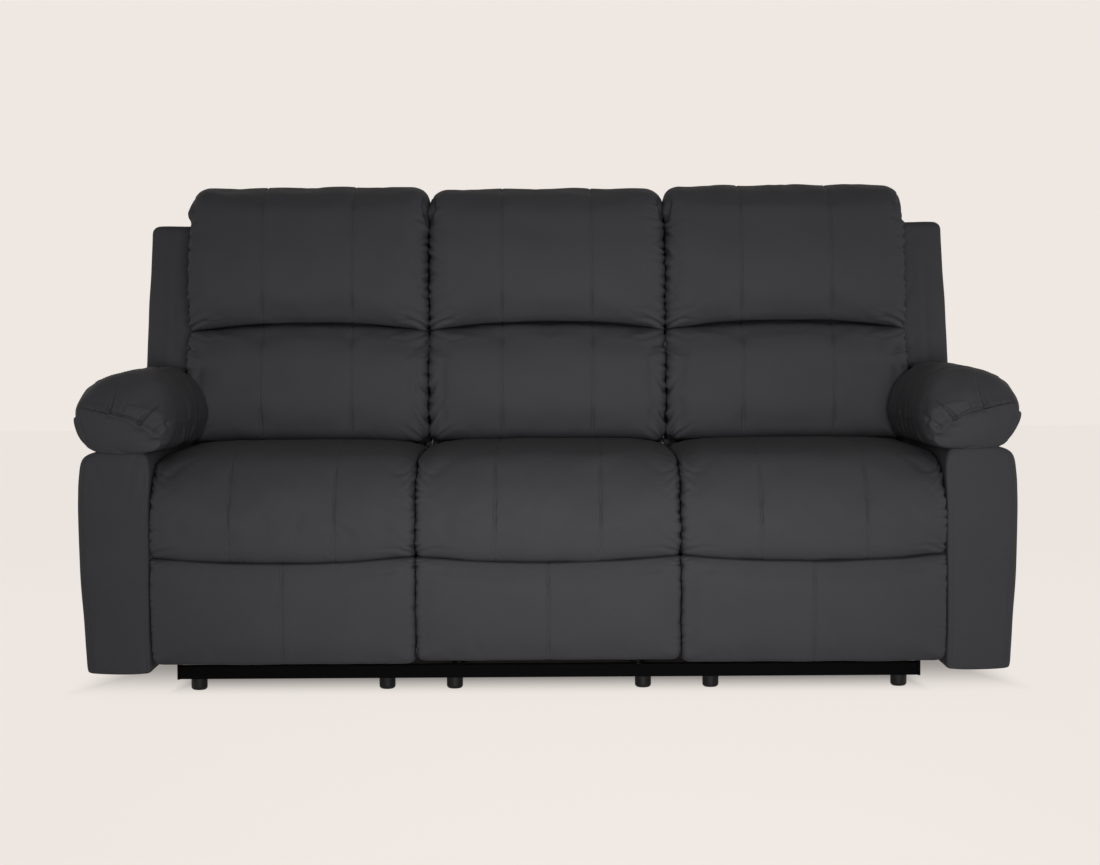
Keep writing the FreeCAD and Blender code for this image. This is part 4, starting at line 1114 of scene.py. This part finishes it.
def tail_of(name, middle):
    """The flap of the lower lobe that tucks in behind the seat cushion."""

    def section(x):
        end = TAIL_HALF - abs(x - middle)
        draw = 0.012 * max(0.0, 1 - end / 0.012) ** 2
        return [
            (0.153 + draw, 0.431 + draw, 5),
            (0.246 - draw, 0.431 + draw, 5),
            (0.254 - draw, 0.470, 4),
            (0.256 - draw, 0.520, 6),
            (0.200, 0.527, 5),
            (0.156 + draw, 0.520, 5),
        ]

    places = columns(middle - TAIL_HALF, middle + TAIL_HALF, (), step=0.03)
    return lobe(name, places, section, cap_rows=3)


class SOFA_OT_arms(bpy.types.Operator):
    """Make the padded arm covers"""

    bl_idname = "sofa.arms"
    bl_label = "Arms"

    def execute(self, context):
        for seat, way in (("left", -1), ("right", 1)):
            arm_cover(seat, way)
        return {"FINISHED"}


def belly(z):
    """How far out the arm reaches at a height."""
    knots = [0.062, 0.10, 0.16, 0.235, 0.30, 0.36, 0.40, 0.44, 0.47, 0.49, 0.505, 0.513]
    reach = [0.9365, 0.9395, 0.9440, 0.9490, 0.9520, 0.9530, 0.9530, 0.9520, 0.9495, 0.9450, 0.9370, 0.926]
    return float(np.interp(z, knots, reach))


def flip(obj):
    """Turns a right-hand piece into its left-hand twin."""
    co = places_of(obj)
    co[:, 0] *= -1
    put(obj, co)
    tidy_faces(obj.data)


def arm_cover(seat, way):
    """The arm's leather: a front body with a leaning rear end, and a low body behind it."""
    places = [ARM_FRONT, -0.4295, -0.428, -0.425, -0.420, -0.412, -0.400, -0.385]
    places += list(np.linspace(-0.37, -0.19, 17)) + [CUP_FRONT]
    places += list(np.linspace(-0.165, -0.075, 8)) + [CUP_REAR] + list(np.linspace(-0.05, NOTCH_Y, 14))

    def section(y):
        draw = end_draw(y - ARM_FRONT, 0.011)
        low = ARM_FOOT + draw * 0.1
        knots = [(ARM_INNER + draw * 0.5, low + 0.003, 8)]
        for z, n in ((0.15, 8), (0.26, 8), (0.37, 8)):
            knots.append((ARM_INNER + draw * 0.5, z, n))
        knots.append((ARM_INNER + draw * 0.5, 0.494 - draw, 2))
        knots.append((ARM_INNER + 0.010 + draw, 0.508 - draw, 9))
        knots.append((0.905 - draw * 0.5, 0.512 - draw, 3))
        knots.append((belly(0.497) - draw, 0.497 - draw, 4))
        heights = ((0.455, 4), (0.417, 2), (0.400, 2), (CUP_HIGH, 7), (CUP_LOW, 7), (0.235, 7), (0.16, 6))
        for z, n in (*heights, (0.10, 4)):
            knots.append((belly(z) - draw, z, n))
        knots.append((belly(ARM_FOOT) - draw, low + 0.003, 2))
        knots.append((belly(ARM_FOOT) - draw - 0.003, low, 13))
        knots.append((ARM_INNER + draw * 0.5 + 0.003, low, 2))
        return knots

    obj = lobe("arm_soft_" + seat, places, section, axis=1, cap_rows=16, bulge=0.003)
    co = places_of(obj)
    start = -0.06
    share = np.clip((co[:, 1] - start) / (NOTCH_Y - start), 0, 1)
    lean = np.where(co[:, 2] > NOTCH_Z, (co[:, 2] - NOTCH_Z) * NOTCH_LEAN, 0.0)
    co[:, 1] += lean * share**1.5
    put(obj, co)
    finer(obj)
    rear_places = [NOTCH_Y - 0.01, NOTCH_Y] + list(np.linspace(0.13, 0.318, 13))
    rear_places += [0.326, 0.331, 0.334, ARM_REAR]

    def low_section(y):
        draw = end_draw(ARM_REAR - y, 0.010)
        fall = (ARM_REAR_TOP - NOTCH_Z) * (max(y, NOTCH_Y) - NOTCH_Y) / (ARM_REAR - NOTCH_Y)
        top = NOTCH_Z + fall - draw
        rise = top - ARM_FOOT
        knots = [(ARM_INNER + draw, ARM_FOOT + 0.003, 10)]
        knots += [(ARM_INNER + draw, ARM_FOOT + rise * s, 6) for s in (0.3, 0.6)]
        knots += [(ARM_INNER + draw, top - 0.010, 2), (ARM_INNER + 0.008 + draw, top - 0.001, 12)]
        outer = belly(top - 0.01) - draw
        knots += [(outer - 0.010, top - 0.001, 2), (outer, top - 0.012, 5)]
        for s, n in ((0.72, 6), (0.44, 6), (0.2, 5)):
            z = ARM_FOOT + rise * s
            knots.append((belly(z) - draw, z, n))
        knots.append((belly(ARM_FOOT) - draw, ARM_FOOT + 0.003, 2))
        knots.append((belly(ARM_FOOT) - draw - 0.003, ARM_FOOT, 8))
        knots.append((ARM_INNER + draw + 0.003, ARM_FOOT, 2))
        return knots

    low_piece = lobe("arm_rear_soft_" + seat, rear_places, low_section, axis=1, cap_rows=8)
    finer(low_piece)
    cut_window(obj)
    front_seam = [(belly(z) - ARM_SEAM, z) for z in np.linspace(0.066, 0.50, 44)]
    inner_seam = [(ARM_INNER + 0.009, z) for z in np.linspace(0.066, 0.485, 40)]
    paths = [
        (front_seam, 0.004, 0.0010, "none"),
        (inner_seam, 0.005, 0.0012, "none"),
        ([(0.83, 0.505), (0.845, 0.46), (0.842, 0.40)], 0.016, 0.0014, "in"),
        ([(0.92, 0.50), (0.905, 0.45), (0.90, 0.38)], 0.018, 0.0012, "in"),
        ([(0.815, 0.47), (0.828, 0.42), (0.829, 0.33)], 0.010, 0.0012, "in"),
    ]
    strokes(obj, paths, [0, 2], (1, -1))
    ripples(obj, 0.0007, 0.14, 120)
    ripples(low_piece, 0.0007, 0.14, 120)
    if way < 0:
        flip(obj)
        flip(low_piece)
    lines = []
    for offset in (-0.0035, 0.0035):
        line = [(way * (belly(z) - ARM_SEAM + offset), -0.4312, z) for z in np.linspace(0.07, 0.492, 60)]
        lines.append(snapped(obj, line))
    beside, hem_z = way * 0.97, 0.082
    side = [(beside, -0.405, z) for z in np.linspace(0.07, 0.49, 60)]
    hem = [(beside, y, hem_z) for y in np.linspace(-0.40, 0.10, 50)]
    rear_hem = [(beside, y, hem_z) for y in np.linspace(0.12, 0.325, 20)]
    lines += [snapped(obj, side), snapped(obj, hem), snapped(low_piece, rear_hem)]
    for piece in (obj, low_piece):
        dress(piece, "base", "cover_leather", ["arm_cover_" + seat])
    stitch("arm_stitches_" + seat, lines, "base")


def snapped(obj, line):
    """A line of points laid on a piece's surface."""
    out = []
    for place in line:
        hit, spot, normal, _ = obj.closest_point_on_mesh(Vector(place))
        out.append(tuple(spot + normal * 0.0002) if hit else place)
    return out


def cut_window(obj):
    """Cuts the opening that the moulded cup sits in, with its edge turned inwards."""
    work = bmesh.new()
    work.from_mesh(obj.data)
    inside = []
    for face in work.faces:
        c = face.calc_center_median()
        if CUP_FRONT < c.y < CUP_REAR and CUP_LOW < c.z < CUP_HIGH and c.x > 0.92:
            inside.append(face)
    bmesh.ops.delete(work, geom=inside, context="FACES")
    rim = [e for e in work.edges if e.is_boundary]
    made = bmesh.ops.extrude_edge_only(work, edges=rim)["geom"]
    for vert in made:
        if isinstance(vert, bmesh.types.BMVert):
            vert.co.x -= 0.009
    work.to_mesh(obj.data)
    work.free()
    obj.data.polygons.foreach_set("use_smooth", [True] * len(obj.data.polygons))


class SOFA_OT_pads(bpy.types.Operator):
    """Make the gathered pillows on the arms"""

    bl_idname = "sofa.pads"
    bl_label = "Arm pads"

    def execute(self, context):
        for seed, (seat, way) in enumerate((("left", -1), ("right", 1))):
            arm_pad(seat, way, seed)
        return {"FINISHED"}


def arm_pad(seat, way, seed):
    """One arm pillow: bellied, gathered into a seam across its front, with two seams over its top."""
    outline = [
        (0.917, PAD_BASE, 4),
        (0.940, PAD_BASE + 0.022, 5),
        (0.960, PAD_BASE + 0.070, 6),
        (0.952, PAD_BASE + 0.102, 7),
        (0.922, PAD_BASE + 0.130, 8),
        (0.882, PAD_BASE + 0.150, 8),
        (0.838, PAD_BASE + 0.157, 8),
        (0.800, PAD_BASE + 0.144, 8),
        (0.773, PAD_BASE + 0.110, 7),
        (0.764, PAD_BASE + 0.066, 6),
        (0.768, PAD_BASE + 0.026, 5),
        (0.782, PAD_BASE, 16),
    ]

    def section(y):
        front = max(y - PAD_FRONT, 0.0)
        squeeze = 0.045 * math.exp(-front / 0.03) + 0.05 * max(0.0, 1 - front / 0.06) ** 2.2
        back = max(0.0, 1 - (PAD_REAR - y) / 0.03)
        share = 1 - squeeze - 0.13 * back**2
        flatten = 0.66 * max(0.0, 1 - front / 0.085) ** 2
        knots = []
        for x, z, n in outline:
            x2 = PAD_MIDDLE + (x - PAD_MIDDLE) * (0.25 + 0.75 * share)
            z2 = PAD_BASE + (z - PAD_BASE) * share
            if z2 > PAD_SEAM:
                z2 = PAD_SEAM + (z2 - PAD_SEAM) * (1 - flatten)
            knots.append((x2, z2, n))
        return knots

    places = [PAD_FRONT, -0.4505, -0.448, -0.444, -0.439, -0.433, -0.426, -0.418, -0.409, -0.399]
    places += list(np.linspace(-0.388, 0.16, 62)) + [0.170, 0.180, 0.188, 0.194, PAD_REAR]
    obj = lobe("arm_pad_soft_" + seat, places, section, axis=1, cap_rows=18, turn=44, bulge=0.008)
    count, size = GRIDS[obj.name]
    hold = np.zeros(len(obj.data.vertices))
    grid = np.zeros((count, size))
    grid[:, :4] = 1
    grid[:, size - 18 :] = 1
    grid[-4:] = 1
    hold[: count * size] = grid.ravel()
    plump(obj, "pad", hold, 0.02, 0.006)
    co = places_of(obj)
    # the rear end leans with the wing, and steps clear of the back cushion
    share = np.clip((co[:, 1] - 0.05) / 0.14, 0, 1)
    co[:, 1] += 0.19 * (co[:, 2] - PAD_BASE) * share
    near = (co[:, 1] > 0.078) & (co[:, 0] < BACK_SIDE)
    co[:, 0] = np.where(near, BACK_SIDE, co[:, 0])
    put(obj, co)
    finer(obj)
    mounds = [(0.912, 0.626, 0.030, 0.005), (0.842, 0.618, 0.032, 0.006), (0.786, 0.580, 0.020, 0.004)]
    mounds += [(0.900, 0.556, 0.034, 0.003)]
    puffs(obj, mounds, [0, 2], (1, -1))
    gusset = [(0.950, 0.601), (0.925, 0.600), (0.885, 0.594), (0.838, 0.580), (0.805, 0.562), (0.772, 0.538)]
    front_paths = [
        (gusset, 0.006, 0.0050, "both"),
        ([(0.882, 0.594), (0.874, 0.620), (0.866, 0.654)], 0.010, 0.0090, "in"),
        ([(0.818, 0.570), (0.798, 0.592), (0.776, 0.618)], 0.010, 0.0090, "in"),
        ([(0.788, 0.550), (0.770, 0.566), (0.756, 0.584)], 0.009, 0.0070, "in"),
        ([(0.936, 0.600), (0.932, 0.614), (0.924, 0.628)], 0.006, 0.0034, "in"),
        ([(0.912, 0.598), (0.908, 0.612), (0.900, 0.628)], 0.006, 0.0026, "in"),
        ([(0.856, 0.586), (0.846, 0.608), (0.836, 0.630)], 0.007, 0.0026, "in"),
        ([(0.902, 0.594), (0.898, 0.570), (0.893, 0.548)], 0.008, 0.0014, "in"),
        ([(0.820, 0.568), (0.824, 0.550), (0.822, 0.530)], 0.008, 0.0018, "in"),
        ([(0.942, 0.598), (0.937, 0.565), (0.925, 0.530)], 0.005, 0.0030, "both"),
    ]
    strokes(obj, front_paths, [0, 2], (1, -1))
    top_paths = []
    for y in PAD_ROWS:
        line = [(0.958, y - 0.012), (0.905, y), (0.85, y + 0.006), (0.80, y + 0.014), (0.758, y + 0.030)]
        top_paths.append((line, 0.006, 0.0030, "none"))
    top_paths += [
        ([(0.93, -0.36), (0.90, -0.33), (0.88, -0.29)], 0.016, 0.0020, "in"),
        ([(0.80, -0.35), (0.82, -0.31), (0.83, -0.26)], 0.016, 0.0022, "in"),
        ([(0.79, -0.10), (0.81, -0.06), (0.83, -0.02)], 0.016, 0.0018, "in"),
        ([(0.92, -0.11), (0.90, -0.16), (0.88, -0.20)], 0.016, 0.0018, "in"),
    ]
    strokes(obj, top_paths, [0, 1], (2, 1))
    ripples(obj, 0.0012, 0.07, 130 + seed)
    if way < 0:
        flip(obj)
    dress(obj, "base", "padded_leather", ["arm_pad_" + seat])
    lines = []
    for y in PAD_ROWS:
        for offset in (-0.0045, 0.0045):
            line = []
            for x in np.linspace(0.778, 0.94, 44):
                bend = 0.006 + (0.85 - x) * 0.22 if x < 0.85 else 0.006 - (x - 0.85) * 0.11
                line.append((way * x, y + bend + offset, 0.69 - 1.2 * (x - 0.845) ** 2))
            lines.append(snapped(obj, line))
    lines.append(snapped(obj, [(way * x, -0.462, z + 0.004) for x, z in dense(gusset, 60)]))
    stitch("pad_stitches_" + seat, lines, "base")


def dense(path, count):
    """Evenly spaced points along a path of (a, b) points."""
    places = np.array(path)
    along = np.concatenate(([0], np.cumsum(np.linalg.norm(np.diff(places, axis=0), axis=1))))
    at = np.linspace(0, along[-1], count)
    return list(zip(np.interp(at, along, places[:, 0]), np.interp(at, along, places[:, 1])))


class SOFA_OT_wings(bpy.types.Operator):
    """Make the padded wings beside the outer backs"""

    bl_idname = "sofa.wings"
    bl_label = "Wings"

    def execute(self, context):
        for seat, way in (("left", -1), ("right", 1)):
            wing(seat, way)
        return {"FINISHED"}


def wing_front(z):
    """Where the front of a wing stands at a height."""
    return 0.236 + 0.19 * (z - 0.620)


def wing(seat, way):
    """One wing: a narrow padded side of the back with a rounded top."""

    def section(z):
        share = (z - WING_FOOT) / (WING_TOP - WING_FOOT)
        draw = end_draw(WING_TOP - z, 0.016) + 0.006 * max(0.0, 1 - (z - WING_FOOT) / 0.008) ** 2
        outer = 0.936 - 0.014 * share - draw
        inner = 0.817 + draw * 0.2
        front = wing_front(z) + draw
        rear = shell_rear(z) - draw
        return [
            (inner, front + 0.004, 2),
            (inner + 0.006, front, 10),
            (outer - 0.020, front - 0.001, 3),
            (outer - 0.004, front + 0.006, 3),
            (outer, front + 0.022, 10),
            (outer + 0.001, (front + rear) / 2, 10),
            (outer, rear - 0.016, 3),
            (outer - 0.014, rear, 8),
            (inner + 0.004, rear, 2),
            (inner, rear - 0.006, 13),
        ]

    places = [WING_FOOT, 0.388, 0.392, 0.400] + list(np.linspace(0.412, 0.970, 46))
    places += [0.978, 0.985, 0.991, 0.996, 0.9995, 1.0012, WING_TOP]
    obj = lobe("wing_soft_" + seat, places, section, axis=2, cap_rows=8, turn=7)
    finer(obj)
    line = [(wing_front(z) + 0.030, z) for z in np.linspace(0.40, 0.985, 50)]
    strokes(obj, [(line, 0.005, 0.0012, "none")], [1, 2], (0, 1))
    face = [(0.885 - 0.010 * k / 9, 0.45 + 0.055 * k) for k in range(10)]
    folds = [
        (face, 0.014, 0.0016, "both"),
        ([(0.822, 0.80), (0.842, 0.84), (0.858, 0.90)], 0.012, 0.0022, "in"),
        ([(0.822, 0.70), (0.846, 0.72), (0.870, 0.76)], 0.012, 0.0018, "in"),
        ([(0.822, 0.94), (0.850, 0.965), (0.880, 0.975)], 0.012, 0.0018, "in"),
    ]
    strokes(obj, folds, [0, 2], (1, -1))
    ripples(obj, 0.0009, 0.11, 140)
    if way < 0:
        flip(obj)
    lines = []
    for offset in (-0.004, 0.004):
        row = [(way * 0.95, y + offset, z) for y, z in line]
        lines.append(snapped(obj, row))
    dress(obj, "back_" + seat, "cover_leather", ["wing_" + seat])
    stitch("wing_stitches_" + seat, lines, "back_" + seat)


class SOFA_OT_rears(bpy.types.Operator):
    """Make the thin padded skins on the rear of the three backs, and the hem of the panel below them"""

    bl_idname = "sofa.rears"
    bl_label = "Rear skins"

    def execute(self, context):
        for seed, seat in enumerate(SEATS):
            rear_skin(seat, seed)
        low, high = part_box("rear_panel")
        lines = []
        for z in (low.z + 0.012, high.z - 0.012):
            lines.append([(x, high.y + 0.0002, z) for x in np.linspace(low.x + 0.012, high.x - 0.012, 160)])
        stitch("rear_stitches", lines, "base")
        return {"FINISHED"}


def shell_rear(z):
    """Where the rear face of a back's shell stands at a height."""
    return 0.345 + 0.112 * (z - 0.312) / 0.666


def rear_skin(seat, seed):
    """A crowned leather panel over the rear of one back, sewn down its middle and hemmed at its sides."""
    sizes = bpy.context.scene.sofa_sizes
    low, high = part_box("back_shell_" + seat)
    left, right = low.x + 0.003, high.x - 0.003
    middle = (left + right) / 2
    half = (right - left) / 2
    hems = (left + 0.014, right - 0.014)

    def section(x):
        crown = 0.0065 * (1 - abs((x - middle) / half) ** 5)
        return [
            (shell_rear(0.320) + 0.0004, 0.320, 20),
            (shell_rear(0.975) + 0.0004, 0.975, 3),
            (shell_rear(0.971) + 0.0026, 0.971, 6),
            (shell_rear(0.900) + 0.0030 + crown, 0.900, 8),
            (shell_rear(0.650) + 0.0032 + crown * 1.3, 0.650, 12),
            (shell_rear(0.400) + 0.0030 + crown, 0.400, 6),
            (shell_rear(0.325) + 0.0026, 0.325, 3),
        ]

    obj = lobe("rear_skin_" + seat, columns(left, right, (middle,)), section, cap_rows=1)
    finer(obj)
    press_seams(obj, 0, (middle, *hems), 0.0014, where=lambda co, n: (n[:, 1] > 0.5) * 1.0)
    rng = random.Random(150 + seed)
    paths = []
    for x, way in ((left, 1), (right, -1)):
        paths += edge_strokes(rng, x, way, 0.34, 0.95, 9, 0.05, 0.0016, 0.014)
    strokes(obj, paths, [0, 2], (1, 1))
    ripples(obj, 0.0007, 0.12, 160 + seed, (1, 1))
    dress(obj, "back_" + seat, "cover_leather", [])
    lines = []
    for x in (middle - sizes.stitch_row, middle + sizes.stitch_row, hems[0] + 0.004, hems[1] - 0.004):
        lines.append(snapped(obj, [(x, shell_rear(z) + 0.02, z) for z in np.linspace(0.335, 0.965, 110)]))
    stitch("rear_skin_stitches_" + seat, lines, "back_" + seat)


class SOFA_PT_panel(bpy.types.Panel):
    """Lists the pieces of the sofa"""

    bl_idname = "SOFA_PT_panel"
    bl_label = "Reclining Sofa"
    bl_space_type = "VIEW_3D"
    bl_region_type = "UI"
    bl_category = "Sofa"

    def draw(self, context):
        for group in (context.scene.sofa_sizes, context.scene.sofa_colours):
            for name in group.__annotations__:
                self.layout.prop(group, name)
        for kind in OPERATORS:
            self.layout.operator(kind.bl_idname)


OPERATORS = (
    SOFA_OT_finishes,
    SOFA_OT_stage,
    SOFA_OT_seats,
    SOFA_OT_footrests,
    SOFA_OT_backs,
    SOFA_OT_arms,
    SOFA_OT_pads,
    SOFA_OT_wings,
    SOFA_OT_rears,
)


def register():
    """Adds the sizes, colours, operators and panel to Blender."""
    for kind in (SofaSizes, SofaColours, *OPERATORS, SOFA_PT_panel):
        bpy.utils.register_class(kind)
    bpy.types.Scene.sofa_sizes = PointerProperty(type=SofaSizes)
    bpy.types.Scene.sofa_colours = PointerProperty(type=SofaColours)


def unregister():
    """Takes them out again."""
    del bpy.types.Scene.sofa_colours
    del bpy.types.Scene.sofa_sizes
    for kind in reversed((SofaSizes, SofaColours, *OPERATORS, SOFA_PT_panel)):
        bpy.utils.unregister_class(kind)


def main():
    """Dresses the frame."""
    register()
    bpy.ops.sofa.finishes()
    bpy.ops.sofa.stage()
    bpy.ops.sofa.seats()
    bpy.ops.sofa.footrests()
    bpy.ops.sofa.backs()
    bpy.ops.sofa.arms()
    bpy.ops.sofa.pads()
    bpy.ops.sofa.wings()
    bpy.ops.sofa.rears()


if __name__ == "__main__":
    main()
